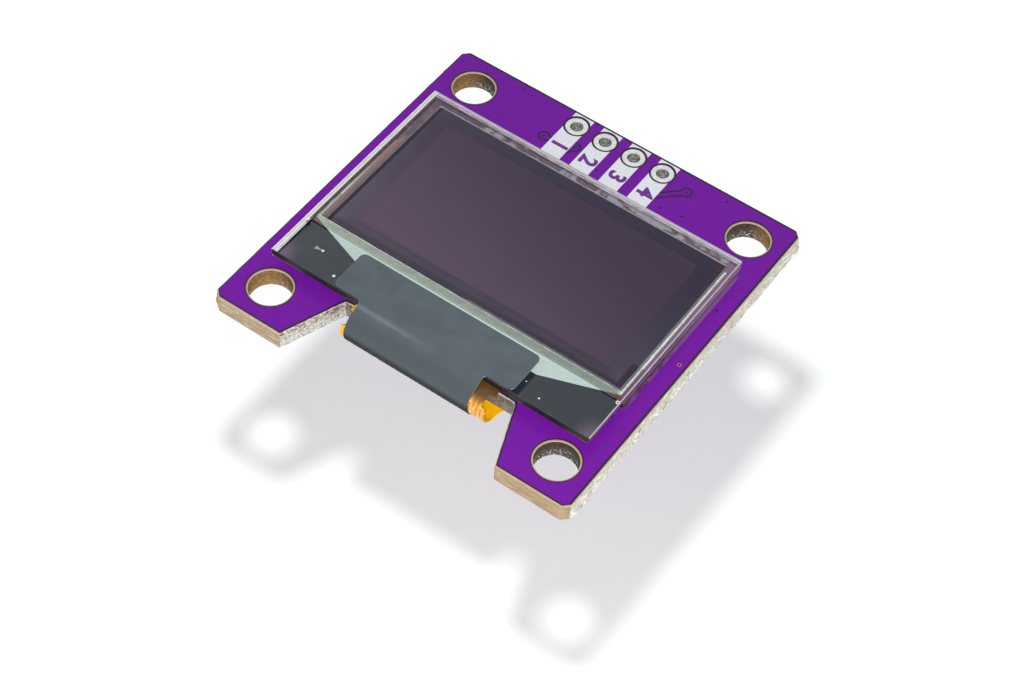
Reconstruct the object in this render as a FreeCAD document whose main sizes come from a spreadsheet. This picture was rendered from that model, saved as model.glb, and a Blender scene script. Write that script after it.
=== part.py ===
import FreeCAD, Part
import Sketcher
import math
import os

# Small display module, in millimetres.
# The board's centre on its back face is the origin. X runs along the display, Y towards the header
# pads and Z out of the display's front.

os.makedirs("parts", exist_ok=True)
doc = FreeCAD.newDocument("display_module")
V = FreeCAD.Vector

# Driving dimensions

SIZES = {
    # Notched board
    "board_length": 30.0,
    "board_width": 30.0,
    "board_thickness": 1.6,
    "corner_cut": 0.5,
    "hole_inset": 2.85,
    "hole_radius": 1.6,
    "notch_mouth": 18.2,
    "notch_root": 14.4,
    "notch_clearance": 0.345,
    "notch_corner_radius": 0.3,
    "edge_break": 0.06,
    # Lacquer and ink on both faces of the board
    "mask_thickness": 0.065,
    "mask_edge_gap": 0.08,
    "mask_hole_gap": 0.12,
    "mask_pad_gap": 0.04,
    "groove_depth": 0.02,
    "ink_thickness": 0.02,
    # Header pads
    "pin_pitch": 2.54,
    "pin_row_inset": 1.37,
    "pin_hole_radius": 0.5,
    "plating_thickness": 0.035,
    "pad_radius": 0.84,
    "pad_thickness": 0.055,
    "pad_bar_width": 1.65,
    "pad_bar_clearance": 0.18,
    "pad_bar_edge_gap": 0.25,
    "pad_bar_tuck": 1.0,
    # Traces that leave the vias, seen as grooves in the lacquer on both sides of each
    "via_radius": 0.2,
    "trace_width": 0.28,
    "trace_gap": 0.17,
    "via_land_radius": 0.32,
    "trace_tuck": 0.9,
    "trace_bend": 0.75,
    "side_trace_rise": 3.4,
    # Display panel, round its pixel field
    "field_length": 21.8,
    "field_width": 11.3,
    "field_shift_y": 1.55,
    "glass_left_border": 2.65,
    "glass_right_border": 2.48,
    "glass_top_border": 1.865,
    "glass_thickness": 0.55,
    "glass_edge_cut": 0.05,
    "cap_inset": 0.04,
    "cap_low_border": 1.95,
    "cap_thickness": 0.55,
    "cap_wall": 1.35,
    "cap_recess_depth": 0.3,
    "cap_recess_radius": 0.8,
    "ledge_width": 4.245,
    "desiccant_thickness": 0.18,
    "desiccant_clearance": 1.2,
    "seal_thickness": 0.05,
    "seal_inset": 0.08,
    "mounting_tape_thickness": 0.235,
    "mounting_tape_inset": 0.1,
    "mounting_tape_bar_gap": 0.2,
    "film_thickness": 0.02,
    "electrode_top_border": 1.15,
    "electrode_low_border": 1.24,
    "electrode_left_border": 1.45,
    "electrode_right_border": 1.65,
    "electrode_taper": 0.6,
    "taper_height": 5.6,
    "electrode_flare": 2.1,
    "flare_top_drop": 2.95,
    "flare_height": 1.5,
    "polarizer_left_border": 1.3,
    "polarizer_right_border": 2.0,
    "polarizer_low_border": 1.7,
    "polarizer_top_border": 0.75,
    "polarizer_thickness": 0.12,
    "polarizer_corner": 0.12,
    "strip_width": 0.27,
    "strip_drop": 0.2,
    "right_strip_width": 0.33,
    "right_strip_drop": 0.5,
    "fan_shoulder": 0.27,
    "fan_height": 2.05,
    "fan_spread": 1.9,
    "fan_neck_gap": 0.1,
    "fan_end_gap": 0.4,
    "shade_thickness": 0.05,
    "shade_side_gap": 0.06,
    "shade_top_gap": 0.13,
    "shade_tail_gap": 0.5,
    "shade_corner": 0.6,
    "chip_length": 10.8,
    "chip_width": 1.0,
    "chip_thickness": 0.3,
    "chip_setback": 1.3,
    # Folded flexible tail
    "tail_half_width": 6.1,
    "tail_thickness": 0.12,
    "tail_bond_length": 1.1,
    "tail_bond_film": 0.02,
    "tail_reach": 1.785,
    "tail_upper_bend": 1.15,
    "tail_relief_radius": 0.52,
    "tail_relief_depth": 0.47,
    "tail_relief_drop": 0.08,
    "tail_relief_start": 0.13,
    "tail_return": 6.0,
    "tail_foot_margin": 0.35,
    "tail_foot_length": 4.85,
    "tail_flare_radius": 1.5,
    # Cover tape over the ledge and round the fold
    "cover_thickness": 0.07,
    "cover_left": 8.18,
    "cover_right": 7.04,
    "cover_depth": 3.635,
    "cover_corner_radius": 0.45,
    "cover_neck_left": 5.75,
    "cover_neck_right": 4.78,
    "cover_neck_radius": 0.3,
    "cover_upper_bend": 1.38,
    "cover_return": 2.1,
    # Solder row of the tail
    "finger_pitch": 0.7,
    "finger_width": 0.4,
    "finger_land": 0.75,
    # Parts on the back of the board
    "capacitor_length": 1.6,
    "capacitor_width": 0.8,
    "capacitor_height": 0.8,
    "resistor_length": 1.6,
    "resistor_width": 0.8,
    "resistor_height": 0.45,
    "terminal_length": 0.32,
    "terminal_plating": 0.025,
    "solder_leg": 0.26,
    "land_overhang": 0.3,
    "land_inset": 0.1,
    "land_mask_gap": 0.05,
    "capacitor_pitch": 3.3,
    "capacitor_row_gap": 3.0,
    "resistor_pitch": 3.4,
    "resistor_row_gap": 4.5,
    "resistor_row_start": -1.6,
    "regulator_x": -7.4,
    "regulator_row_shift": 1.0,
    "regulator_length": 2.9,
    "regulator_width": 1.3,
    "regulator_height": 1.0,
    "regulator_draft": 0.09,
    "regulator_standoff": 0.06,
    "lead_width": 0.4,
    "lead_thickness": 0.12,
    "lead_pitch": 0.95,
    "lead_span": 2.4,
    "lead_foot": 0.42,
    "lead_bend": 0.08,
    # Printed outlines round those parts
    "line_width": 0.14,
    "line_gap": 0.22,
}

PIN_COUNT = 4
FINGER_COUNT = 30
CAPACITOR_COUNT = 6
RESISTOR_COUNT = 4

# Vias that end a trace, as distances in from the board's right edge and down from its upper edge
VIAS = {
    "via_left": (20.2, 3.65),
    "via_middle": (17.75, 3.2),
    "via_right": (8.8, 1.85),
    "via_side": (2.35, 21.93),
}


def fill_sheet():
    """Writes every driving dimension into its own named cell."""
    cells = dict(SIZES)
    for name, (across, down) in VIAS.items():
        cells[name + "_across"] = across
        cells[name + "_down"] = down
    sheet = doc.addObject("Spreadsheet::Sheet", "dims")
    for row, (alias, value) in enumerate(cells.items(), 1):
        sheet.set(f"A{row}", alias.replace("_", " "))
        sheet.set(f"B{row}", str(value))
        sheet.setAlias(f"B{row}", alias)
    doc.recompute()
    return sheet


class Size:
    """A length together with the formula that ties it to the sheet."""

    def __init__(self, value, formula):
        self.value = value
        self.formula = formula

    @staticmethod
    def of(other):
        return other if isinstance(other, Size) else Size(float(other), f"({float(other)})")

    def join(self, other, sign, value):
        return Size(value, f"({self.formula} {sign} {Size.of(other).formula})")

    def __add__(self, other):
        return self.join(other, "+", self.value + Size.of(other).value)

    def __sub__(self, other):
        return self.join(other, "-", self.value - Size.of(other).value)

    def __mul__(self, other):
        return self.join(other, "*", self.value * Size.of(other).value)

    def __truediv__(self, other):
        return self.join(other, "/", self.value / Size.of(other).value)

    def __radd__(self, other):
        return Size.of(other) + self

    def __rsub__(self, other):
        return Size.of(other) - self

    def __rmul__(self, other):
        return Size.of(other) * self

    def __neg__(self):
        return Size(-self.value, f"(-{self.formula})")


def root(size):
    return Size(math.sqrt(size.value), f"sqrt({size.formula})")


SHEET = fill_sheet()


def dim(alias):
    """The driving dimension of that name, read back from the sheet."""
    return Size(float(SHEET.get(alias)), f"dims.{alias}")


ZERO = Size.of(0.0)

# Heights of the layers, from the back of the board to the front of the panel

BOARD_TOP = dim("board_thickness")
MASK = dim("mask_thickness")
MASK_TOP = BOARD_TOP + MASK
CAP_BACK = MASK_TOP + dim("mounting_tape_thickness")
CAP_FRONT = CAP_BACK + dim("cap_thickness")
INNER_FACE = CAP_FRONT + dim("seal_thickness")
GLASS_FRONT = INNER_FACE + dim("glass_thickness")
FILM_BACK = INNER_FACE - dim("film_thickness")
LAND = dim("pad_thickness")

# Main lines of the plan

HALF_LENGTH = dim("board_length") / 2
HALF_WIDTH = dim("board_width") / 2
PIN_Y = HALF_WIDTH - dim("pin_row_inset")
FIELD_HALF = dim("field_length") / 2
FIELD_HIGH = dim("field_shift_y") + dim("field_width") / 2
FIELD_LOW = dim("field_shift_y") - dim("field_width") / 2
GLASS_LEFT = -FIELD_HALF - dim("glass_left_border")
GLASS_RIGHT = FIELD_HALF + dim("glass_right_border")
GLASS_HIGH = FIELD_HIGH + dim("glass_top_border")
CAP_LEFT = GLASS_LEFT + dim("cap_inset")
CAP_RIGHT = GLASS_RIGHT - dim("cap_inset")
CAP_HIGH = GLASS_HIGH - dim("cap_inset")
CAP_LOW = FIELD_LOW - dim("cap_low_border")
GLASS_LOW = CAP_LOW - dim("ledge_width")
NOTCH_Y = GLASS_LOW + dim("notch_clearance")
ELECTRODE_HIGH = FIELD_HIGH + dim("electrode_top_border")
ELECTRODE_LOW = FIELD_LOW - dim("electrode_low_border")
ELECTRODE_LEFT = FIELD_HALF + dim("electrode_left_border")
ELECTRODE_RIGHT = FIELD_HALF + dim("electrode_right_border")
ELECTRODE_HALF = FIELD_HALF + dim("electrode_flare")
FLARE_HIGH = ELECTRODE_HIGH - dim("flare_top_drop")
FLARE_LOW = FLARE_HIGH - dim("flare_height")
ROOT_TWO = math.sqrt(2)

finished = []


def bind(thing, prop, size):
    thing.setExpression(prop, Size.of(size).formula)


def named(thing, label):
    """Gives a finished sub-part its own label and puts it on the list that is written out."""
    thing.Label = label
    finished.append(thing)
    return thing


# Building blocks: sketches


def new_body(name):
    return doc.addObject("PartDesign::Body", name)


def origin_feature(body, role):
    return next(f for f in body.Origin.OriginFeatures if f.Role == role)


def new_sketch(body, role, name, offset=None):
    """A sketch on one of the body's own origin planes, moved along the plane's normal by offset."""
    sketch = body.newObject("Sketcher::SketchObject", name)
    sketch.AttachmentSupport = [(origin_feature(body, role), "")]
    sketch.MapMode = "FlatFace"
    if offset is not None:
        bind(sketch, "AttachmentOffset.Base.z", offset)
    return sketch


def hold(sketch, constraint, size):
    index = sketch.addConstraint(constraint)
    bind(sketch, f"Constraints[{index}]", size)


def arc_between(a, b, radius, turn):
    """The arc from a to b that turns left (turn 1) or right (turn -1), and which end of it is a."""
    middle = (a + b) * 0.5
    across = b - a
    normal = V(-across.y, across.x, 0).normalize()
    rise = math.sqrt(max(radius ** 2 - (across.Length / 2) ** 2, 0.0))
    centre = middle + normal * (turn * rise)
    start = math.atan2(a.y - centre.y, a.x - centre.x)
    end = math.atan2(b.y - centre.y, b.x - centre.x)
    circle = Part.Circle(centre, V(0, 0, 1), radius)
    if turn > 0:
        return Part.ArcOfCircle(circle, start, end), (1, 2)
    return Part.ArcOfCircle(circle, end, start), (2, 1)


def outline(sketch, start, moves):
    """Draws a closed outline. Each move is a corner (x, y), or (x, y, radius, turn) for an arc to it."""
    pieces = []
    here = start
    for move in moves:
        a = V(here[0].value, here[1].value, 0)
        b = V(move[0].value, move[1].value, 0)
        if len(move) == 2:
            index = sketch.addGeometry(Part.LineSegment(a, b), False)
            pieces.append((index, 1, 2, here))
        else:
            arc, (first, last) = arc_between(a, b, move[2].value, move[3])
            index = sketch.addGeometry(arc, False)
            pieces.append((index, first, last, here))
            hold(sketch, Sketcher.Constraint("Radius", index, move[2].value), move[2])
        here = move[:2]
    for number, (index, first, last, corner) in enumerate(pieces):
        before = pieces[number - 1]
        sketch.addConstraint(Sketcher.Constraint("Coincident", before[0], before[2], index, first))
        hold(sketch, Sketcher.Constraint("DistanceX", index, first, corner[0].value), corner[0])
        hold(sketch, Sketcher.Constraint("DistanceY", index, first, corner[1].value), corner[1])


def circles(sketch, centres, radius):
    for x, y in centres:
        circle = Part.Circle(V(x.value, y.value, 0), V(0, 0, 1), radius.value)
        index = sketch.addGeometry(circle, False)
        hold(sketch, Sketcher.Constraint("Radius", index, radius.value), radius)
        hold(sketch, Sketcher.Constraint("DistanceX", index, 3, x.value), x)
        hold(sketch, Sketcher.Constraint("DistanceY", index, 3, y.value), y)


def rectangle(sketch, low, high):
    outline(sketch, low, [(high[0], low[1]), high, (low[0], high[1]), low])


def rounded_rectangle(sketch, low, high, radius):
    (x0, y0), (x1, y1) = low, high
    outline(sketch, (x0 + radius, y0), [
        (x1 - radius, y0), (x1, y0 + radius, radius, 1),
        (x1, y1 - radius), (x1 - radius, y1, radius, 1),
        (x0 + radius, y1), (x0, y1 - radius, radius, 1),
        (x0, y0 + radius), (x0 + radius, y0, radius, 1),
    ])


# Building blocks: features


def pad(body, sketch, length, name, both_ways=False):
    feature = body.newObject("PartDesign::Pad", name)
    feature.Profile = sketch
    bind(feature, "Length", length)
    if both_ways:
        feature.SideType = "Symmetric"
    doc.recompute()
    return feature


def pocket(body, sketch, length, name, towards_normal=False):
    """Cuts the sketch out of the body, and stops if that takes nothing away."""
    before = body.Shape.Volume
    feature = body.newObject("PartDesign::Pocket", name)
    feature.Profile = sketch
    bind(feature, "Length", length)
    feature.Reversed = towards_normal
    doc.recompute()
    if not body.Shape.Volume < before - 1e-6:
        raise RuntimeError(f"{name} cuts nothing")
    return feature


def upright_edges(shape, spots, reach=0.05):
    """Names of the edges parallel to Z that stand at one of the spots."""
    names = []
    for number, edge in enumerate(shape.Edges, 1):
        a, b = edge.Vertexes[0].Point, edge.Vertexes[-1].Point
        if abs(a.x - b.x) + abs(a.y - b.y) > 1e-6:
            continue
        if any(math.hypot(a.x - x.value, a.y - y.value) < reach for x, y in spots):
            names.append(f"Edge{number}")
    return names


def level_edges(shape):
    """Names of the edges that lie level, round the top and the bottom."""
    return [
        f"Edge{number}" for number, edge in enumerate(shape.Edges, 1)
        if abs(edge.Vertexes[0].Point.z - edge.Vertexes[-1].Point.z) < 1e-6
    ]


def round_edges(body, feature, names, radius, name):
    fillet = body.newObject("PartDesign::Fillet", name)
    fillet.Base = (feature, names)
    bind(fillet, "Radius", radius)
    doc.recompute()
    return fillet


def cut_edges(body, feature, names, size, name):
    chamfer = body.newObject("PartDesign::Chamfer", name)
    chamfer.Base = (feature, names)
    bind(chamfer, "Size", size)
    doc.recompute()
    return chamfer


def place(thing, x=ZERO, y=ZERO, z=ZERO):
    for axis, size in zip("xyz", (x, y, z)):
        bind(thing, f"Placement.Base.{axis}", size)
    return thing


def block(name, low, size):
    """A box from its lowest corner."""
    box = doc.addObject("Part::Box", name)
    for prop, length in zip(("Length", "Width", "Height"), size):
        bind(box, prop, length)
    return place(box, *low)


def centred_block(name, centre, size, z):
    """A box centred in plan, with its underside at z."""
    low = (centre[0] - Size.of(size[0]) / 2, centre[1] - Size.of(size[1]) / 2, z)
    return block(name, low, size)


def rod(name, centre, z, radius, height, direction=None):
    """A cylinder, upright unless a direction is given."""
    cylinder = doc.addObject("Part::Cylinder", name)
    bind(cylinder, "Radius", radius)
    bind(cylinder, "Height", height)
    if direction is not None:
        cylinder.Placement.Rotation = FreeCAD.Rotation(V(0, 0, 1), direction)
    return place(cylinder, centre[0], centre[1], z)


def minus(name, base, tool):
    cut = doc.addObject("Part::Cut", name)
    cut.Base = base
    cut.Tool = tool
    return cut


def group(name, shapes):
    """Separate solids that share one node."""
    compound = doc.addObject("Part::Compound", name)
    compound.Links = shapes
    return compound


# Board


def board_outline(sketch, inset):
    """The board's outline with its clipped corners and the notch for the tail, moved in by inset."""
    x = HALF_LENGTH - inset
    y = HALF_WIDTH - inset
    clip = dim("corner_cut") - inset * (2 - ROOT_TWO)
    slope = (dim("notch_mouth") - dim("notch_root")) / 2 / (NOTCH_Y + HALF_WIDTH)
    slant = inset * root(1 + slope * slope)
    root_x = dim("notch_root") / 2 - inset * slope + slant
    root_y = NOTCH_Y + inset
    mouth_x = dim("notch_mouth") / 2 - inset * slope + slant
    outline(sketch, (x, -y + clip), [
        (x, y - clip), (x - clip, y),
        (-x + clip, y), (-x, y - clip),
        (-x, -y + clip), (-x + clip, -y),
        (-mouth_x, -y), (-root_x, root_y),
        (root_x, root_y), (mouth_x, -y),
        (x - clip, -y), (x, -y + clip),
    ])


def corner_holes():
    x = HALF_LENGTH - dim("hole_inset")
    y = HALF_WIDTH - dim("hole_inset")
    return [(x, y), (-x, y), (-x, -y), (x, -y)]


def pin_spots():
    middle = (PIN_COUNT - 1) / 2
    return [(dim("pin_pitch") * (number - middle), PIN_Y) for number in range(PIN_COUNT)]


def via_spots():
    return [(HALF_LENGTH - dim(name + "_across"), HALF_WIDTH - dim(name + "_down")) for name in VIAS]


def make_core():
    body = new_body("core_blank")
    plan = new_sketch(body, "XY_Plane", "core_plan")
    board_outline(plan, ZERO)
    slab = pad(body, plan, BOARD_TOP, "core_slab")
    root_x = dim("notch_root") / 2
    corners = upright_edges(body.Shape, [(root_x, NOTCH_Y), (-root_x, NOTCH_Y)])
    rounded = round_edges(body, slab, corners, dim("notch_corner_radius"), "core_notch_corners")
    cut_edges(body, rounded, level_edges(body.Shape), dim("edge_break"), "core_broken_edges")
    holes = new_sketch(body, "XY_Plane", "core_corner_holes")
    circles(holes, corner_holes(), dim("hole_radius"))
    pocket(body, holes, BOARD_TOP, "core_corner_drilling", towards_normal=True)
    first_pin = new_sketch(body, "XY_Plane", "core_pin_hole")
    circles(first_pin, pin_spots()[:1], dim("pin_hole_radius") + dim("plating_thickness"))
    drilling = pocket(body, first_pin, BOARD_TOP, "core_pin_drilling", towards_normal=True)
    row = body.newObject("PartDesign::LinearPattern", "core_pin_row")
    row.Originals = [drilling]
    row.Direction = (origin_feature(body, "X_Axis"), [""])
    bind(row, "Length", dim("pin_pitch") * (PIN_COUNT - 1))
    row.Occurrences = PIN_COUNT
    body.Tip = row
    doc.recompute()
    radius = dim("via_radius")
    drills = [rod(f"via_drill_{n}", spot, ZERO, radius, BOARD_TOP) for n, spot in enumerate(via_spots(), 1)]
    named(minus("core_drilled", body, group("via_drills", drills)), "pcb_core")


def mask_slab(name, z):
    """The sheet of lacquer on one face, open at the corner holes and round the header pads."""
    body = new_body(name)
    plan = new_sketch(body, "XY_Plane", name + "_plan", z)
    board_outline(plan, dim("mask_edge_gap"))
    circles(plan, corner_holes(), dim("hole_radius") + dim("mask_hole_gap"))
    circles(plan, pin_spots(), dim("pad_radius") + dim("mask_pad_gap"))
    pad(body, plan, MASK, name + "_sheet")
    return body


def strip_shape(points, half_width, z, height):
    """A square-ended strip that follows the points, mitred by its overlaps."""
    pieces = []
    for (x0, y0), (x1, y1) in zip(points, points[1:]):
        length = math.hypot(x1 - x0, y1 - y0)
        bar = Part.makeBox(length + half_width, 2 * half_width, height, V(0, -half_width, 0))
        angle = math.degrees(math.atan2(y1 - y0, x1 - x0))
        bar.Placement = FreeCAD.Placement(V(x0, y0, z), FreeCAD.Rotation(V(0, 0, 1), angle))
        pieces.append(bar)
    return pieces[0].multiFuse(pieces[1:]) if len(pieces) > 1 else pieces[0]


def trace_routes():
    """The way of each trace from its via: three go in under the panel and one runs up beside it."""
    spots = [(x.value, y.value) for x, y in via_spots()]
    (left, left_y), (middle, middle_y), (right, right_y), (side, side_y) = spots
    under = (GLASS_HIGH - dim("trace_tuck")).value
    bend = dim("trace_bend").value
    rise = dim("side_trace_rise").value
    return [
        [(left, left_y), (left + bend, left_y), (left + 1.5 * bend, left_y - 0.5 * bend), (left + 1.5 * bend, under)],
        [(middle, middle_y), (middle - bend, middle_y - 2 * bend), (middle - bend, under)],
        [(right, right_y), (right - 3 * bend, right_y - 3 * bend), (right - 3 * bend, under)],
        [(side, side_y), (side, side_y + rise)],
    ]


def trace_grooves():
    """The bare lines on both sides of each trace and round the land of its via."""
    depth = dim("groove_depth").value
    z = MASK_TOP.value - depth
    height = depth * 2
    half, gap = dim("trace_width").value / 2, dim("trace_gap").value
    land = dim("via_land_radius").value
    rings = []
    for route in trace_routes():
        foot = V(*route[0], z)
        outer = strip_shape(route, half + gap, z, height).fuse(Part.makeCylinder(land + gap, height, foot))
        inner = strip_shape(route, half, z, height).fuse(Part.makeCylinder(land, height, foot))
        rings.append(outer.cut(inner))
    grooves = doc.addObject("Part::Feature", "trace_grooves")
    grooves.Shape = rings[0].multiFuse(rings[1:]).removeSplitter()
    return grooves


def make_front_mask():
    named(minus("front_mask_grooved", mask_slab("front_mask", BOARD_TOP), trace_grooves()), "solder_mask_front")


def make_pin_bars():
    """White printed bars from the board's edge past each header pad and in under the panel."""
    half = dim("pad_bar_width") / 2
    clear = dim("pad_radius") + dim("pad_bar_clearance")
    low = GLASS_HIGH - dim("pad_bar_tuck")
    ink = dim("ink_thickness")
    bars = []
    for number, (x, y) in enumerate(pin_spots(), 1):
        length = HALF_WIDTH - dim("pad_bar_edge_gap") - low
        bar = block(f"bar_{number}", (x - half, low, MASK_TOP), (half * 2, length, ink))
        ring = rod(f"bar_ring_{number}", (x, y), MASK_TOP, clear, ink)
        bars.append(minus(f"bar_cut_{number}", bar, ring))
    named(group("bars", bars), "silkscreen_front")


def make_eyelets():
    """Plated header holes with a pad on each face, turned about the hole's axis."""
    hole = dim("pin_hole_radius")
    drill = hole + dim("plating_thickness")
    rim = dim("pad_radius")
    top = BOARD_TOP + LAND
    for number, (x, y) in enumerate(pin_spots(), 1):
        body = new_body(f"eyelet_{number}")
        section = new_sketch(body, "XZ_Plane", f"eyelet_section_{number}")
        outline(section, (hole, -LAND), [
            (rim, -LAND), (rim, ZERO), (drill, ZERO), (drill, BOARD_TOP),
            (rim, BOARD_TOP), (rim, top), (hole, top), (hole, -LAND),
        ])
        turned = body.newObject("PartDesign::Revolution", f"eyelet_turned_{number}")
        turned.Profile = section
        turned.ReferenceAxis = (section, ["V_Axis"])
        turned.Angle = 360
        named(place(body, x, y), f"header_eyelet_{number}")


def make_via_barrels():
    """Plated vias, filled and closed by the lacquer on both faces."""
    radius = dim("via_radius")
    barrels = [rod(f"via_barrel_{n}", spot, ZERO, radius, BOARD_TOP) for n, spot in enumerate(via_spots(), 1)]
    named(group("barrels", barrels), "via_barrels")


# Display panel


def plain_sheet(name, low, high, z, thickness, radius=None):
    """A flat rectangular piece, with rounded corners if a radius is given."""
    body = new_body(name)
    plan = new_sketch(body, "XY_Plane", name + "_plan", z)
    if radius is None:
        rectangle(plan, low, high)
    else:
        rounded_rectangle(plan, low, high, radius)
    return body, pad(body, plan, thickness, name + "_sheet")


def make_mounting_tape():
    """The foam tape between the board and the cap, as wide as the cap and clear of the printed bars."""
    inset = dim("mounting_tape_inset")
    top = GLASS_HIGH - dim("pad_bar_tuck") - dim("mounting_tape_bar_gap")
    body, _ = plain_sheet("tape", (CAP_LEFT + inset, CAP_LOW + inset), (CAP_RIGHT - inset, top),
                          MASK_TOP, dim("mounting_tape_thickness"))
    named(body, "panel_mounting_tape")


def make_cap_glass():
    wall = dim("cap_wall")
    body, _ = plain_sheet("cap", (CAP_LEFT, CAP_LOW), (CAP_RIGHT, CAP_HIGH),
                          CAP_BACK, dim("cap_thickness"))
    recess = new_sketch(body, "XY_Plane", "cap_recess_plan", CAP_FRONT)
    rounded_rectangle(recess, (CAP_LEFT + wall, CAP_LOW + wall), (CAP_RIGHT - wall, CAP_HIGH - wall),
                      dim("cap_recess_radius"))
    pocket(body, recess, dim("cap_recess_depth"), "cap_recess")
    named(body, "cap_glass")


def make_desiccant():
    inset = dim("cap_wall") + dim("desiccant_clearance")
    body, _ = plain_sheet("desiccant_blank", (CAP_LEFT + inset, CAP_LOW + inset),
                          (CAP_RIGHT - inset, CAP_HIGH - inset),
                          CAP_FRONT - dim("cap_recess_depth"), dim("desiccant_thickness"))
    named(body, "desiccant_sheet")


def make_electrode_and_field():
    """The dark film round the pixel field, flared out at its left side and tapered in at its upper right."""
    film = dim("film_thickness")
    half, left, right = ELECTRODE_HALF, ELECTRODE_LEFT, ELECTRODE_RIGHT
    middle = (FLARE_HIGH + FLARE_LOW) / 2
    shift, height = half - left, dim("flare_height")
    radius = (shift * shift + height * height) / (4 * shift)
    body = new_body("electrode")
    plan = new_sketch(body, "XY_Plane", "electrode_plan", FILM_BACK)
    outline(plan, (-half, ELECTRODE_LOW), [
        (right, ELECTRODE_LOW), (right, ELECTRODE_HIGH - dim("taper_height")),
        (right - dim("electrode_taper"), ELECTRODE_HIGH), (-left, ELECTRODE_HIGH),
        (-left, FLARE_HIGH), (-(left + half) / 2, middle, radius, -1),
        (-half, FLARE_LOW, radius, 1), (-half, ELECTRODE_LOW),
    ])
    pad(body, plan, film, "electrode_sheet")
    window = new_sketch(body, "XY_Plane", "electrode_window", INNER_FACE)
    rectangle(window, (-FIELD_HALF, FIELD_LOW), (FIELD_HALF, FIELD_HIGH))
    pocket(body, window, film, "electrode_opening")
    named(body, "electrode_film")
    field, _ = plain_sheet("field", (-FIELD_HALF, FIELD_LOW), (FIELD_HALF, FIELD_HIGH), FILM_BACK, film)
    named(field, "pixel_field")
    return body


def make_bus_traces():
    """The fine conductors: a band under the dark film, two side strips and the fan to the chip."""
    left, right = -ELECTRODE_HALF, ELECTRODE_RIGHT
    past_left, past_right = left - dim("strip_width"), right + dim("right_strip_width")
    left_top = FLARE_LOW - dim("strip_drop")
    right_top = ELECTRODE_HIGH - dim("right_strip_drop")
    shoulder = ELECTRODE_LOW - dim("fan_shoulder")
    foot = shoulder - dim("fan_height")
    foot_half = dim("chip_length") / 2 + dim("fan_spread")
    neck = dim("tail_half_width") + dim("fan_neck_gap")
    end = GLASS_LOW + dim("fan_end_gap")
    body = new_body("traces")
    plan = new_sketch(body, "XY_Plane", "traces_plan", FILM_BACK)
    outline(plan, (-neck, end), [
        (neck, end), (neck, foot), (foot_half, foot), (past_right, shoulder),
        (past_right, right_top), (right, right_top), (right, ELECTRODE_LOW), (left, ELECTRODE_LOW),
        (left, left_top), (past_left, left_top), (past_left, shoulder), (-foot_half, foot),
        (-neck, foot), (-neck, end),
    ])
    pad(body, plan, dim("film_thickness"), "traces_sheet")
    named(body, "bus_traces")
    return body


def make_seal(films):
    """The bead of adhesive between the two glasses, shaped round the films that pass through it."""
    thickness = dim("seal_thickness")
    outer = dim("seal_inset")
    inner = dim("cap_wall") - dim("seal_inset")
    body, _ = plain_sheet("bead", (CAP_LEFT + outer, CAP_LOW + outer), (CAP_RIGHT - outer, CAP_HIGH - outer),
                          CAP_FRONT, thickness)
    window = new_sketch(body, "XY_Plane", "bead_window", INNER_FACE)
    rectangle(window, (CAP_LEFT + inner, CAP_LOW + inner), (CAP_RIGHT - inner, CAP_HIGH - inner))
    pocket(body, window, thickness, "bead_opening")
    named(minus("bead_fitted", body, group("bead_films", films)), "panel_seal")


def make_front_glass():
    body, slab = plain_sheet("glass", (GLASS_LEFT, GLASS_LOW), (GLASS_RIGHT, GLASS_HIGH),
                             INNER_FACE, dim("glass_thickness"))
    every_edge = [f"Edge{number}" for number in range(1, len(body.Shape.Edges) + 1)]
    cut_edges(body, slab, every_edge, dim("glass_edge_cut"), "glass_cut_edges")
    named(body, "front_glass")


def make_polarizer():
    low = (-FIELD_HALF - dim("polarizer_left_border"), FIELD_LOW - dim("polarizer_low_border"))
    high = (FIELD_HALF + dim("polarizer_right_border"), FIELD_HIGH + dim("polarizer_top_border"))
    body, _ = plain_sheet("polarizer_blank", low, high, GLASS_FRONT,
                          dim("polarizer_thickness"), dim("polarizer_corner"))
    named(body, "polarizer")


def make_shades():
    """Black films behind the ledge, one on each side of the driver chip."""
    inner = dim("tail_half_width") + dim("shade_tail_gap")
    top = CAP_LOW - dim("shade_top_gap")
    low = GLASS_LOW + dim("glass_edge_cut")
    corner = dim("shade_corner")
    z = FILM_BACK - dim("shade_thickness")
    gap = dim("shade_side_gap")
    for side, reach, label in ((-1, ZERO - GLASS_LEFT, "ledge_shade_left"), (1, GLASS_RIGHT, "ledge_shade_right")):
        outer = reach - gap
        body = new_body(label + "_blank")
        plan = new_sketch(body, "XY_Plane", label + "_plan", z)
        outline(plan, (inner * side, low), [
            (outer * side, low), (outer * side, top - corner),
            ((outer - corner) * side, top, corner, side), (inner * side, top), (inner * side, low),
        ])
        pad(body, plan, dim("shade_thickness"), label + "_sheet")
        named(body, label)


def make_driver_chip():
    size = (dim("chip_length"), dim("chip_width"), dim("chip_thickness"))
    y = CAP_LOW - dim("chip_setback") - dim("chip_width") / 2
    named(centred_block("chip", (ZERO, y), size, FILM_BACK - dim("chip_thickness")), "driver_ic")


# Folded tail and its cover tape

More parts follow.
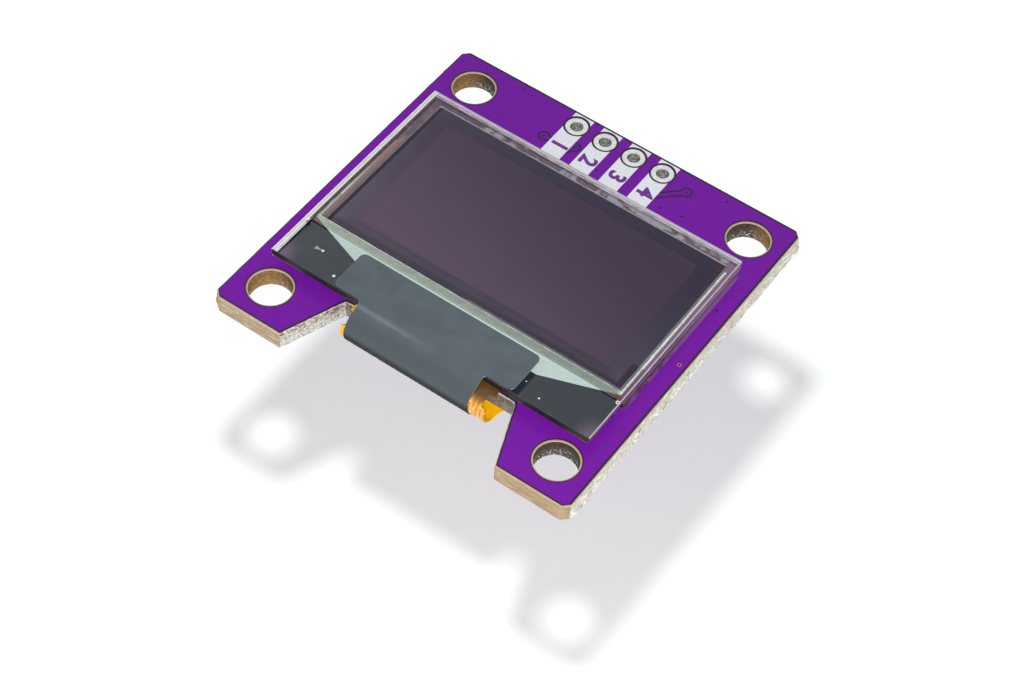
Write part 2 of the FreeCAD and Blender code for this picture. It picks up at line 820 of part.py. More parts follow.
TAIL_TOP = FILM_BACK - dim("tail_bond_film")
TAIL_BACK = -MASK
FOLD_Y = GLASS_LOW - dim("tail_reach")
FOLD_Z = TAIL_TOP - dim("tail_upper_bend")
LOWER_BEND = FOLD_Z - TAIL_BACK + dim("tail_thickness")
UPPER_Y = FOLD_Y + dim("tail_upper_bend")
LOWER_Y = FOLD_Y + LOWER_BEND
TAIL_INNER_Y = GLASS_LOW + dim("tail_bond_length") + dim("glass_edge_cut")
TAIL_END_Y = GLASS_LOW + dim("tail_return")
SPLIT_Z = (FOLD_Z + TAIL_BACK) / 2
FINGERS_HALF = dim("finger_pitch") * ((FINGER_COUNT - 1) / 2) + dim("finger_width") / 2
TAIL_FOOT_HALF = FINGERS_HALF + dim("tail_foot_margin")


def make_tail():
    """One strip of film: out from under the ledge, down through the notch and back under the board."""
    thickness = dim("tail_thickness")
    upper, lower = dim("tail_upper_bend"), LOWER_BEND
    body = new_body("tail")
    side = new_sketch(body, "YZ_Plane", "tail_side")
    outline(side, (TAIL_INNER_Y, TAIL_TOP - thickness), [
        (TAIL_INNER_Y, TAIL_TOP), (UPPER_Y, TAIL_TOP), (FOLD_Y, FOLD_Z, upper, 1),
        (LOWER_Y, TAIL_BACK - thickness, lower, 1), (TAIL_END_Y, TAIL_BACK - thickness),
        (TAIL_END_Y, TAIL_BACK), (LOWER_Y, TAIL_BACK),
        (FOLD_Y + thickness, FOLD_Z, lower - thickness, -1),
        (UPPER_Y, TAIL_TOP - thickness, upper - thickness, -1),
        (TAIL_INNER_Y, TAIL_TOP - thickness),
    ])
    pad(body, side, TAIL_FOOT_HALF * 2, "tail_strip", both_ways=True)
    # Narrow from the ledge round the fold, then wider again behind the board with a sweep on each side
    half, sweep = dim("tail_half_width"), dim("tail_flare_radius")
    past = TAIL_FOOT_HALF + 1
    front = FOLD_Y - 1
    foot_y = TAIL_END_Y - dim("tail_foot_length")
    for turn, name in ((-1, "left"), (1, "right")):
        side = new_sketch(body, "XY_Plane", f"tail_{name}_side_plan", SPLIT_Z)
        rectangle(side, (half * turn, front), (past * turn, TAIL_INNER_Y + 1))
        pocket(body, side, TAIL_TOP - SPLIT_Z + 1, f"tail_{name}_side", towards_normal=True)
        flare = new_sketch(body, "XY_Plane", f"tail_{name}_flare_plan", SPLIT_Z)
        outline(flare, (half * turn, front), [
            (past * turn, front), (past * turn, foot_y), ((half + sweep) * turn, foot_y),
            (half * turn, foot_y - sweep, sweep, turn), (half * turn, front),
        ])
        pocket(body, flare, SPLIT_Z - TAIL_BACK + 1, f"tail_{name}_flare")
    # Round reliefs at both edges of the fold
    relief = dim("tail_relief_radius")
    relief_x = half + relief - dim("tail_relief_depth")
    relief_z = TAIL_TOP - dim("tail_relief_drop")
    sketch = new_sketch(body, "XZ_Plane", "tail_relief_plan", -(UPPER_Y + dim("tail_relief_start")))
    circles(sketch, [(relief_x, relief_z), (-relief_x, relief_z)], relief)
    pocket(body, sketch, dim("tail_upper_bend") * 2, "tail_reliefs", towards_normal=True)
    named(body, "flex_tail")


def make_bond_film():
    half = dim("tail_half_width")
    body, _ = plain_sheet("bond", (-half, GLASS_LOW + dim("glass_edge_cut") * 2), (half, TAIL_INNER_Y),
                          TAIL_TOP, dim("tail_bond_film"))
    named(body, "tail_bond_film")


def tangent_point(point, centre, radius):
    """Where the left-hand line from the point touches the circle."""
    dy, dz = point[0] - centre[0], point[1] - centre[1]
    far = dy * dy + dz * dz
    along = radius * radius / far
    aside = radius * root(far - radius * radius) / far
    return centre[0] + dy * along - dz * aside, centre[1] + dz * along + dy * aside


def make_cover_tape():
    """One strip of tape: flat on the ledge, straight down over its edge, then round the fold."""
    thickness = dim("cover_thickness")
    inner_upper = dim("cover_upper_bend")
    outer_upper = inner_upper + thickness
    inner_lower, outer_lower = LOWER_BEND, LOWER_BEND + thickness
    centre = (FOLD_Y + inner_upper, FOLD_Z)
    edge = (GLASS_LOW, GLASS_FRONT)
    top = GLASS_FRONT + thickness
    low = TAIL_BACK - dim("tail_thickness")
    end = LOWER_Y + dim("cover_return")
    touch_in = tangent_point(edge, centre, inner_upper)
    touch_out = tangent_point((GLASS_LOW, top), centre, outer_upper)
    body = new_body("cover")
    left, right = -dim("cover_left"), dim("cover_right")
    back = GLASS_LOW + dim("cover_depth")
    side = new_sketch(body, "YZ_Plane", "cover_side", left)
    outline(side, (back, GLASS_FRONT), [
        (back, top), (GLASS_LOW, top), touch_out,
        (FOLD_Y - thickness, FOLD_Z, outer_upper, 1), (LOWER_Y, low - thickness, outer_lower, 1),
        (end, low - thickness), (end, low), (LOWER_Y, low),
        (FOLD_Y, FOLD_Z, inner_lower, -1), (touch_in[0], touch_in[1], inner_upper, -1),
        edge, (back, GLASS_FRONT),
    ])
    pad(body, side, right - left, "cover_strip")
    # Trimmed to its plan: wide on the ledge, narrow over the edge and round the fold
    corner, neck = dim("cover_corner_radius"), dim("cover_neck_radius")
    narrow_left, narrow_right = -dim("cover_neck_left"), dim("cover_neck_right")
    front = FOLD_Y - 1
    ledge = GLASS_LOW + thickness
    past_left, past_right = left - 1, right + 1
    trim = new_sketch(body, "XY_Plane", "cover_plan", FOLD_Z)
    outline(trim, (narrow_left, front), [
        (narrow_left, ledge - neck), (narrow_left - neck, ledge, neck, 1),
        (left + corner, ledge), (left, ledge + corner, corner, -1),
        (left, back - corner), (left + corner, back, corner, -1),
        (right - corner, back), (right, back - corner, corner, -1),
        (right, ledge + corner), (right - corner, ledge, corner, -1),
        (narrow_right + neck, ledge), (narrow_right, ledge - neck, neck, 1),
        (narrow_right, front), (past_right, front), (past_right, back + 1),
        (past_left, back + 1), (past_left, front), (narrow_left, front),
    ])
    pocket(body, trim, top - FOLD_Z + 1, "cover_trim", towards_normal=True)
    for near, past, name in ((narrow_left, past_left, "left"), (narrow_right, past_right, "right")):
        side = new_sketch(body, "XY_Plane", f"cover_{name}_return", FOLD_Z)
        rectangle(side, (near, front), (past, end + 1))
        pocket(body, side, FOLD_Z - low + 1, f"cover_{name}_side")
    named(body, "cover_tape")


# Back of the board


CAPACITOR_Y = TAIL_END_Y + dim("capacitor_row_gap")
RESISTOR_Y = CAPACITOR_Y + dim("resistor_row_gap")
REGULATOR_Y = RESISTOR_Y + dim("regulator_row_shift")


def finger_spots():
    middle = (FINGER_COUNT - 1) / 2
    return [dim("finger_pitch") * (number - middle) for number in range(FINGER_COUNT)]


def capacitor_spots():
    middle = (CAPACITOR_COUNT - 1) / 2
    return [(dim("capacitor_pitch") * (number - middle), CAPACITOR_Y) for number in range(CAPACITOR_COUNT)]


def resistor_spots():
    start = dim("resistor_row_start")
    return [(start + dim("resistor_pitch") * number, RESISTOR_Y) for number in range(RESISTOR_COUNT)]


def lead_spots():
    """Outer ends of the regulator's three feet, with the way each one points along Y."""
    x, y = dim("regulator_x"), REGULATOR_Y
    reach = dim("lead_span") / 2
    return [(x - dim("lead_pitch"), y - reach, -1), (x + dim("lead_pitch"), y - reach, -1), (x, y + reach, 1)]


def lands():
    """Centre and size of every solder land on the back."""
    spots = []
    grow, tuck = dim("land_overhang"), dim("land_inset")
    length = dim("terminal_length") + grow + tuck
    for x, y in capacitor_spots():
        for side in (-1, 1):
            centre = y + (dim("capacitor_length") / 2 + grow - length / 2) * side
            spots.append(((x, centre), (dim("capacitor_width") + tuck, length)))
    for x, y in resistor_spots():
        for side in (-1, 1):
            centre = x + (dim("resistor_length") / 2 + grow - length / 2) * side
            spots.append(((centre, y), (length, dim("resistor_width") + tuck)))
    foot = dim("lead_foot") + grow + tuck
    for x, y, way in lead_spots():
        spots.append(((x, y + (grow - foot / 2) * way), (dim("lead_width") + tuck * 2, foot)))
    return spots


def make_back_layers():
    """Solder lands on the laminate, and the lacquer round them."""
    gap = dim("land_mask_gap")
    lands_made, openings = [], []
    for number, (centre, size) in enumerate(lands(), 1):
        lands_made.append(centred_block(f"land_{number}", centre, size + (LAND,), -LAND))
        opening = (size[0] + gap * 2, size[1] + gap * 2, MASK)
        openings.append(centred_block(f"opening_{number}", centre, opening, -MASK))
    depth = dim("finger_land")
    for number, x in enumerate(finger_spots(), 1):
        size = (dim("finger_width"), depth, LAND)
        lands_made.append(centred_block(f"finger_land_{number}", (x, TAIL_END_Y + depth / 2), size, -LAND))
    window = ((FINGERS_HALF + gap) * 2, depth + gap, MASK)
    openings.append(centred_block("finger_opening", (ZERO, TAIL_END_Y + (depth + gap) / 2), window, -MASK))
    named(group("lands_group", lands_made), "solder_lands")
    mask = minus("back_mask_open", mask_slab("back_mask", -MASK), group("openings", openings))
    named(mask, "solder_mask_back")


def make_tail_solder():
    """A solder joint at the end of each finger of the tail, sloping down to its land."""
    low = TAIL_BACK - dim("tail_thickness")
    toe = 0.02
    half = dim("finger_width") / 2
    joints = []
    for number, x in enumerate(finger_spots(), 1):
        joint = doc.addObject("Part::Wedge", f"joint_{number}")
        for prop, size in (("Xmin", -half), ("Xmax", half), ("X2min", -half), ("X2max", half),
                           ("Ymin", ZERO), ("Ymax", dim("finger_land") - toe), ("Zmin", ZERO),
                           ("Zmax", -LAND - low), ("Z2min", -LAND - low - toe), ("Z2max", -LAND - low)):
            bind(joint, prop, size)
        joints.append(place(joint, x, TAIL_END_Y, low))
    named(group("tail_joints", joints), "tail_solder")


def solder_wedges(name, centre, along, length, width, leg, sides=(-1, 1)):
    """Solder at the ends of a part, highest against its end face and running out along its land."""
    pieces = []
    toe = leg / 6
    for side in sides:
        wedge = doc.addObject("Part::Wedge", f"{name}_wedge_{side}")
        for prop, size in (("Xmin", -width / 2), ("Xmax", width / 2), ("X2min", -width / 2), ("X2max", width / 2),
                           ("Ymin", ZERO), ("Ymax", leg), ("Zmin", -leg), ("Zmax", ZERO),
                           ("Z2min", -toe), ("Z2max", ZERO)):
            bind(wedge, prop, size)
        way = {("y", 1): 0, ("x", -1): 90, ("y", -1): 180, ("x", 1): 270}[along, side]
        wedge.Placement.Rotation = FreeCAD.Rotation(V(0, 0, 1), way)
        offset = length / 2 * side
        x, y = (centre[0] + offset, centre[1]) if along == "x" else (centre[0], centre[1] + offset)
        pieces.append(place(wedge, x, y, -LAND))
    return pieces


def make_chip_part(label, centre, along, length, width, height):
    """A ceramic body and its two metal end caps, hanging from its lands."""
    plating = dim("terminal_plating")
    cap = dim("terminal_length")
    low = -LAND - height
    sizes = (length - plating * 2, width - plating * 2, height - plating * 2)
    ends = []
    if along == "y":
        sizes = (sizes[1], sizes[0], sizes[2])
    body = centred_block(label + "_ceramic", centre, sizes, low + plating)
    named(body, label + "_body")
    for side in (-1, 1):
        offset = (length / 2 - cap / 2) * side
        spot = (centre[0] + offset, centre[1]) if along == "x" else (centre[0], centre[1] + offset)
        size = (cap, width, height) if along == "x" else (width, cap, height)
        ends.append(minus(f"{label}_end_{side}", centred_block(f"{label}_cap_{side}", spot, size, low), body))
    named(group(label + "_ends", ends), label + "_terminals")
    return solder_wedges(label, centre, along, length, width, dim("solder_leg"))


def make_regulator():
    x, y = dim("regulator_x"), REGULATOR_Y
    length, width = dim("regulator_length"), dim("regulator_width")
    draft, height = dim("regulator_draft"), dim("regulator_height")
    top = -LAND - dim("regulator_standoff")
    middle = top - height / 2
    body = new_body("regulator")
    sections = []
    for name, z, inset in (("seat", top, draft), ("parting", middle, ZERO), ("face", top - height, draft)):
        section = new_sketch(body, "XY_Plane", f"regulator_{name}", z)
        half_x, half_y = length / 2 - inset, width / 2 - inset
        rectangle(section, (-half_x, -half_y), (half_x, half_y))
        sections.append(section)
    loft = body.newObject("PartDesign::AdditiveLoft", "regulator_moulding")
    loft.Profile = sections[0]
    loft.Sections = sections[1:]
    loft.Ruled = True
    place(body, x, y)
    # Gull-wing leads: out of the parting line, down to the board, then flat on the land
    thick, bend = dim("lead_thickness"), dim("lead_bend")
    reach = dim("lead_span") / 2
    knee = reach - dim("lead_foot")
    elbow = knee + thick
    outer = bend + thick
    start = width / 2 - draft
    under, over = middle - thick / 2, middle + thick / 2
    leads, solder = [], []
    for number, (lead_x, lead_y, way) in enumerate(lead_spots(), 1):
        lead = new_body(f"lead_{number}")
        side = new_sketch(lead, "YZ_Plane", f"lead_side_{number}")
        outline(side, (start * way, under), [
            ((knee - bend) * way, under), (elbow * way, over + bend, outer, way),
            (elbow * way, -LAND - outer), ((elbow + bend) * way, -LAND - thick, bend, -way),
            (reach * way, -LAND - thick), (reach * way, -LAND), ((elbow + bend) * way, -LAND),
            (knee * way, -LAND - outer, outer, way), (knee * way, over + bend),
            ((knee - bend) * way, over, bend, -way), (start * way, over), (start * way, under),
        ])
        pad(lead, side, dim("lead_width"), f"lead_strip_{number}", both_ways=True)
        leads.append(place(lead, lead_x, y))
        solder += solder_wedges(f"lead_{number}", (lead_x, lead_y), "y", ZERO, dim("lead_width"), thick, (way,))
    metal = named(group("leads", leads), "regulator_leads")
    named(minus("regulator_fitted", body, metal), "regulator_body")
    return solder


def make_back_parts():
    solder = make_regulator()
    capacitor = [dim(f"capacitor_{axis}") for axis in ("length", "width", "height")]
    resistor = [dim(f"resistor_{axis}") for axis in ("length", "width", "height")]
    for number, spot in enumerate(capacitor_spots(), 1):
        solder += make_chip_part(f"capacitor_{number}", spot, "y", *capacitor)
    for number, spot in enumerate(resistor_spots(), 1):
        solder += make_chip_part(f"resistor_{number}", spot, "x", *resistor)
    named(group("joints", solder), "component_solder")


def make_back_ink():
    """Plain printed lines beside the parts on the back."""
    line, gap = dim("line_width"), dim("line_gap")
    ink = dim("ink_thickness")
    z = -MASK - ink
    spots = []
    for x, y in capacitor_spots():
        for side in (-1, 1):
            offset = (dim("capacitor_width") / 2 + gap) * side
            spots.append(((x + offset, y), (line, dim("capacitor_length"))))
    for x, y in resistor_spots():
        for side in (-1, 1):
            offset = (dim("resistor_width") / 2 + gap) * side
            spots.append(((x, y + offset), (dim("resistor_length"), line)))
    x, y = dim("regulator_x"), REGULATOR_Y
    for side in (-1, 1):
        offset = (dim("regulator_length") / 2 + gap) * side
        spots.append(((x + offset, y), (line, dim("lead_span"))))
    lines = [
        centred_block(f"line_{number}", centre, size + (ink,), z)
        for number, (centre, size) in enumerate(spots, 1)
    ]
    named(group("lines", lines), "silkscreen_back")


# The whole module

make_core()
make_front_mask()
make_pin_bars()
make_eyelets()
make_via_barrels()
make_mounting_tape()
make_cap_glass()
make_desiccant()
FILMS = [make_electrode_and_field(), make_bus_traces()]
make_seal(FILMS)
make_front_glass()
make_polarizer()
make_shades()
make_driver_chip()
make_tail()
make_bond_film()
make_cover_tape()
make_back_layers()
make_tail_solder()
make_back_parts()
make_back_ink()
doc.recompute()

for thing in doc.Objects:
    if "Invalid" in thing.State or "Error" in thing.State:
        raise RuntimeError(f"{thing.Label} did not rebuild: {thing.State}")

for thing in finished:
    shape = thing.Shape
    if shape.isNull() or not shape.isValid() or not shape.Solids:
        raise RuntimeError(f"{thing.Label} has no sound solid")
    shape.exportStep(f"parts/{thing.Label}.step")
    print(f"{thing.Label}: {len(shape.Solids)} solid(s), {shape.Volume:.3f} mm3")
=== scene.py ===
import math

import bpy
from mathutils import Matrix, Quaternion, Vector, noise


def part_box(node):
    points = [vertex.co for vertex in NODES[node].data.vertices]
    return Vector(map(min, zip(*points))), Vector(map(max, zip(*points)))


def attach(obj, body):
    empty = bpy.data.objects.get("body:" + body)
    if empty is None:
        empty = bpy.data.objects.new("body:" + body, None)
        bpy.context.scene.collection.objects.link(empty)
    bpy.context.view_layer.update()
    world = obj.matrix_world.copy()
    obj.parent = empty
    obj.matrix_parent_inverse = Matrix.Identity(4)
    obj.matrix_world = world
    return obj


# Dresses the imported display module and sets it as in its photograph. Lengths are in millimetres, and MM
# turns them into the metres that Blender takes. Colours are linear values, which srgb() makes from those
# of a screen.

MM = 0.001

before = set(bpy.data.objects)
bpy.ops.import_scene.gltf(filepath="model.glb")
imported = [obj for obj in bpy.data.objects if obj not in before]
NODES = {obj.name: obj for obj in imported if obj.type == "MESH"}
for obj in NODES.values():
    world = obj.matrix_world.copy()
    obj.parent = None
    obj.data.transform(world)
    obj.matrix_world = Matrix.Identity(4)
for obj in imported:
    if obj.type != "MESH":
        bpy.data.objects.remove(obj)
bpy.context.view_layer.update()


# Sizes read from the frame


def box_mm(node):
    """A node's lowest and highest corners in millimetres."""
    return [[part / MM for part in corner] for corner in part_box(node)]


CORE_LOW, CORE_HIGH = box_mm("pcb_core")
MASK_LOW, MASK_HIGH = box_mm("solder_mask_front")
GLASS_LOW, GLASS_HIGH = box_mm("front_glass")
CAP_LOW, CAP_HIGH = box_mm("cap_glass")
FIELD_LOW, FIELD_HIGH = box_mm("pixel_field")
DARK_LOW, DARK_HIGH = box_mm("electrode_film")
FILM_LOW, FILM_HIGH = box_mm("polarizer")
INK_TOP = box_mm("silkscreen_front")[1][2]
PADS = [box_mm(f"header_eyelet_{number}") for number in range(1, 5)]
PAD_SPOTS = [((low[0] + high[0]) / 2, (low[1] + high[1]) / 2) for low, high in PADS]
PAD_RADIUS = (PADS[0][1][0] - PADS[0][0][0]) / 2
PAD_PITCH = PAD_SPOTS[1][0] - PAD_SPOTS[0][0]

HALF_BOARD = CORE_HIGH[0]
BOARD_TOP = CORE_HIGH[2]
CLIP = 0.5
CORNER = HALF_BOARD - CLIP
HOLE_INSET = 2.85
HOLE_SPOT = HALF_BOARD - HOLE_INSET
HOLE_RADIUS = 1.6
NOTCH_CLEARANCE = 0.345
NOTCH_TOP = GLASS_LOW[1] + NOTCH_CLEARANCE
NOTCH_HALF = 7.2
NOTCH_SLOPE = 0.377
MASK_INSET = 0.08


# Shader building


def srgb(red, green, blue):
    """A colour given by its 8-bit screen values, as the linear values that shaders take."""
    return tuple(((part / 255 + 0.055) / 1.055) ** 2.4 for part in (red, green, blue))


class Value:
    """A socket or a number that takes part in sums inside a material."""

    def __init__(self, shader, source):
        self.shader = shader
        self.source = source

    def math(self, operation, *others):
        node = self.shader.tree.nodes.new("ShaderNodeMath")
        node.operation = operation
        for socket, value in zip(node.inputs, (self, *others)):
            self.shader.feed(socket, value)
        return Value(self.shader, node.outputs[0])

    def __add__(self, other):
        return self.math("ADD", other)

    def __sub__(self, other):
        return self.math("SUBTRACT", other)

    def __mul__(self, other):
        return self.math("MULTIPLY", other)

    def above(self, level):
        return self.math("GREATER_THAN", level)

    def below(self, level):
        return self.math("LESS_THAN", level)

    def between(self, low, high):
        return self.above(low).both(self.below(high))

    def size(self):
        return self.math("ABSOLUTE")

    def either(self, other):
        return self.math("MAXIMUM", other)

    def least(self, other):
        return self.math("MINIMUM", other)

    def both(self, other):
        return self.math("MULTIPLY", other)

    def invert(self):
        return Value(self.shader, 1.0) - self

    def ramp(self, low, high, to_low=0.0, to_high=1.0):
        """Smoothly from to_low to to_high while this goes from low to high."""
        node = self.shader.tree.nodes.new("ShaderNodeMapRange")
        node.interpolation_type = "SMOOTHSTEP"
        for name, value in (("Value", self), ("From Min", low), ("From Max", high),
                            ("To Min", to_low), ("To Max", to_high)):
            self.shader.feed(node.inputs[name], value)
        return Value(self.shader, node.outputs[0])

    def near(self, middle, reach):
        """1 at the middle, falling smoothly to 0 at that reach on both sides."""
        return (self - middle).size().ramp(0.0, reach, 1.0, 0.0)

    def zigzag(self, period):
        """Rises and falls between 0 and 1, once each period."""
        return self.math("PINGPONG", period / 2) * (2 / period)


class Shader:
    """A material whose nodes are added in the order they are used."""

    def __init__(self, name):
        self.material = bpy.data.materials.new(name)
        self.material.use_nodes = True
        self.tree = self.material.node_tree
        self.tree.nodes.clear()
        self.output = self.tree.nodes.new("ShaderNodeOutputMaterial")
        self.spot = self.add("VectorMath", settings={"operation": "SCALE"},
                             Vector=self.add("TexCoord", output="Object"), Scale=1 / MM)

    def feed(self, socket, value):
        if isinstance(value, Value):
            value = value.source
        if isinstance(value, bpy.types.NodeSocket):
            self.tree.links.new(value, socket)
        elif isinstance(value, (int, float)):
            socket.default_value = value
        else:
            socket.default_value = (*value, 1.0) if socket.type == "RGBA" else value

    def add(self, kind, output=0, settings=None, **inputs):
        """A node of that kind with its inputs fed, and one of its outputs."""
        node = self.tree.nodes.new("ShaderNode" + kind)
        for name, value in (settings or {}).items():
            setattr(node, name, value)
        for name, value in inputs.items():
            self.feed(node.inputs[name.replace("_", " ")], value)
        return Value(self, node.outputs[output])

    def place(self):
        """Where the shaded point lies, as its three distances in millimetres from the frame's origin."""
        return self.parts(self.spot)

    def normal(self):
        """The three parts of the surface's direction, in the same frame."""
        return self.parts(self.add("TexCoord", output="Normal"))

    def parts(self, vector):
        node = self.tree.nodes.new("ShaderNodeSeparateXYZ")
        self.feed(node.inputs[0], vector)
        return [Value(self, socket) for socket in node.outputs]

    def noise(self, scale, detail=3.0, rough=0.5, stretch=None):
        """Noise of about that many features a millimetre, drawn out along an axis by a small factor."""
        spot = self.spot
        if stretch:
            node = self.tree.nodes.new("ShaderNodeVectorMath")
            node.operation = "MULTIPLY"
            self.feed(node.inputs[0], spot)
            node.inputs[1].default_value = stretch
            spot = Value(self, node.outputs[0])
        return self.add("TexNoise", Vector=spot, Scale=scale, Detail=detail, Roughness=rough)

    def disc(self, spot, radius):
        """1 within that distance of an upright line through the spot."""
        x, y, _ = self.place()
        across = x - spot[0]
        up = y - spot[1]
        return (across * across + up * up).below(radius ** 2)

    def ring(self, spot, outer, inner):
        """1 between the two distances from an upright line through the spot."""
        return self.disc(spot, outer).both(self.disc(spot, inner).invert())

    def mix(self, factor, a, b):
        """Colour a where the factor is 0 and b where it is 1."""
        node = self.tree.nodes.new("ShaderNodeMix")
        node.data_type = "RGBA"
        self.feed(node.inputs["Factor"], factor)
        self.feed(node.inputs[6], a)
        self.feed(node.inputs[7], b)
        return Value(self, node.outputs[2])

    def shade(self, factor, a, b):
        """Shader a where the factor is 0 and b where it is 1."""
        node = self.tree.nodes.new("ShaderNodeMixShader")
        self.feed(node.inputs[0], factor)
        self.feed(node.inputs[1], a)
        self.feed(node.inputs[2], b)
        return Value(self, node.outputs[0])

    def bump(self, height, strength, distance_mm):
        return self.add("Bump", Height=height, Strength=strength, Distance=distance_mm * MM)

    def solid(self, colour, rough, bump=None, **more):
        settings = {"Base_Color": colour, "Roughness": rough, **more}
        if bump is not None:
            settings["Normal"] = bump
        return self.add("BsdfPrincipled", **settings)

    def finish(self, surface):
        self.feed(self.output.inputs["Surface"], surface)
        return self.material

    def finish_film(self, surface):
        """Finish of a film that lies against glass: light reaches its inner side as it does its face."""
        inner = self.add("NewGeometry", output="Backfacing")
        seen = self.add("LightPath", output="Is Camera Ray")
        clear = self.add("BsdfTransparent", Color=(1, 1, 1))
        return self.finish(self.shade(inner.both(seen.invert()), surface, clear))


# Board


EDGE_LINE_RIGHT = 0.16
EDGE_LINE_LEFT = 0.05
EDGE_LINE_TOP = 0.17
EDGE_LINE_FRONT = 0.10
NOTCH_LINE = 0.12
HOLE_LINE = 0.09
HOLE_OPENING = 0.12
PAD_LINE = 0.18
DARK_LINE = (0.030, 0.012, 0.038)
GROOVE_START = 0.01
WALL_SKIN = 0.03
NOTCH_SKIN = 0.1
NOTCH_RIM = 0.3
LEVEL = 0.97
PAD_FACE = 0.6
DOT_RADIUS = 0.095
DOT_SPOTS = [
    (-9.1, 14.3), (-0.2, 10.9), (9.0, 14.2), (7.2, 11.0), (5.45, 10.7), (13.85, 5.2), (14.35, -0.45),
    (-5.2, 11.35), (-2.75, 11.8), (6.2, 13.15), (12.65, -6.93),
]
COPPER_SPOT = DOT_SPOTS[6]
COPPER_RADIUS = 0.16
# Reach, soft edge, depth under the panel and strength of the painted reflection of the panel's side in
# the lacquer.
REFLECTION_REACH = 0.22
REFLECTION_EDGE = 0.10
REFLECTION_UNDER = 0.4
REFLECTION_STRENGTH = 0.75


def from_notch(x, y):
    """Distance out from the notch's slanted walls, along x, and below 0 within the notch's width."""
    return x.size() + y * NOTCH_SLOPE - (NOTCH_HALF + NOTCH_TOP * NOTCH_SLOPE)


def round_pads(x, y):
    """1 over the header's pads and the dark rings round them."""
    pad_x = (x + PAD_PITCH * 4).math("MODULO", PAD_PITCH) - PAD_PITCH / 2
    pad_y = y - PAD_SPOTS[0][1]
    pad = (pad_x * pad_x + pad_y * pad_y).below((PAD_RADIUS + PAD_LINE) ** 2)
    return pad.both(x.size().below(PAD_PITCH * 2))


def round_holes(x, y, radius):
    """1 within that radius of a corner hole's middle."""
    hole_x = x.size() - HOLE_SPOT
    hole_y = y.size() - HOLE_SPOT
    return (hole_x * hole_x + hole_y * hole_y).below(radius ** 2)


def bare_lines(x, y):
    """1 on the dark lines of the lacquer along the board's edge, its round holes and its pads."""
    right = x.above(MASK_HIGH[0] - EDGE_LINE_RIGHT)
    left = x.below(MASK_LOW[0] + EDGE_LINE_LEFT)
    top = y.above(MASK_HIGH[1] - EDGE_LINE_TOP)
    front = y.below(MASK_LOW[1] + EDGE_LINE_FRONT)
    clip = (x.size() + y.size()).above(HALF_BOARD * 2 - CLIP - EDGE_LINE_FRONT * 2)
    reach = MASK_INSET + NOTCH_LINE
    notch = from_notch(x, y).below(reach).both(y.below(NOTCH_TOP + reach))
    hole = round_holes(x, y, HOLE_RADIUS + HOLE_OPENING + HOLE_LINE)
    edge = right.either(left).either(top).either(front).either(clip)
    return edge.either(notch).either(hole).either(round_pads(x, y))


def panel_image(s, colour):
    """That colour of the glossy lacquer with a painted reflection of the panel's side beside its right
    edge.
    """
    x, y, z = s.place()
    # Painted reflection of the panel's side: mauve at the back, browner and streaked in front.
    streak = s.noise(3.0, 3, 0.6, (1, 0.4, 1))
    brown = s.mix(streak.ramp(0.4, 0.6), srgb(78, 44, 70), srgb(118, 88, 104))
    painted_reflection = s.mix(y.ramp(3.5, -3.0), srgb(124, 96, 126), brown)
    outer = CAP_HIGH[0] + REFLECTION_REACH
    beside = x.ramp(outer, outer - REFLECTION_EDGE).both(x.above(CAP_HIGH[0] - REFLECTION_UNDER))
    beside = beside.both(z.above(BOARD_TOP / 2))
    back = y.ramp(CAP_HIGH[1], CAP_HIGH[1] - 0.8)
    front = y.ramp(CAP_LOW[1] - 0.2, CAP_LOW[1] + 0.6)
    return s.mix(beside.both(back).both(front) * REFLECTION_STRENGTH, colour, painted_reflection)


def lacquer():
    """Purple solder mask, satin over copper and nearly black over bare laminate."""
    s = Shader("lacquer")
    x, y, z = s.place()
    middle = BOARD_TOP / 2
    groove = (z - middle).size().below(MASK_HIGH[2] - middle - GROOVE_START)
    purple = s.mix(s.noise(2.2, 4).ramp(0.3, 0.7), (0.154, 0.0085, 0.318), (0.166, 0.0100, 0.334))
    dark = s.mix(s.noise(14, 2), (0.022, 0.008, 0.030), (0.058, 0.026, 0.078))
    colour = s.mix(bare_lines(x, y).either(groove), purple, dark)
    for spot in DOT_SPOTS:
        colour = s.mix(s.disc(spot, DOT_RADIUS), colour, (0.018, 0.008, 0.018))
    colour = s.mix(s.ring(COPPER_SPOT, COPPER_RADIUS, DOT_RADIUS), colour, srgb(196, 112, 96))
    colour = panel_image(s, colour)
    return s.finish(s.solid(colour, 0.34, s.bump(s.noise(1.1, 2), 0.06, 0.02), Specular_IOR_Level=0.12,
                            Coat_Weight=0.03, Coat_Roughness=0.1))


def sawn_edge(s):
    """Tan layers of glass cloth, browner towards the right, pale at the top and rosy at the foot."""
    x, _, z = s.place()
    layers = s.noise(1.3, 5, 0.65, (0.55, 0.55, 8.0))
    colour = s.mix(layers.ramp(0.36, 0.64), srgb(132, 110, 84), srgb(176, 158, 130))
    lines = s.noise(2.4, 3, 0.5, (0.5, 0.5, 7.0))
    colour = s.mix(lines.ramp(0.55, 0.68, 0, 0.7), colour, srgb(206, 192, 168))
    colour = s.mix(x.ramp(2.0, 12.0, 0.0, 0.35), colour, srgb(146, 116, 78))
    colour = s.mix(z.ramp(BOARD_TOP - 0.16, BOARD_TOP - 0.08, 0, 0.35), colour, srgb(214, 192, 164))
    return s.mix(z.ramp(0.25, 0.02, 0, 0.8), colour, srgb(180, 142, 146))


def torn_side(s):
    """Pale torn fibres with brown gaps between them."""
    flecks = s.noise(2.2, 5, 0.65, (1.0, 0.8, 3.0))
    colour = s.mix(flecks.ramp(0.30, 0.46), srgb(126, 108, 84), srgb(188, 185, 176))
    strands = s.noise(1.8, 3, 0.6, (1, 0.6, 5))
    return s.mix(strands.ramp(0.52, 0.64), colour, srgb(222, 220, 212))


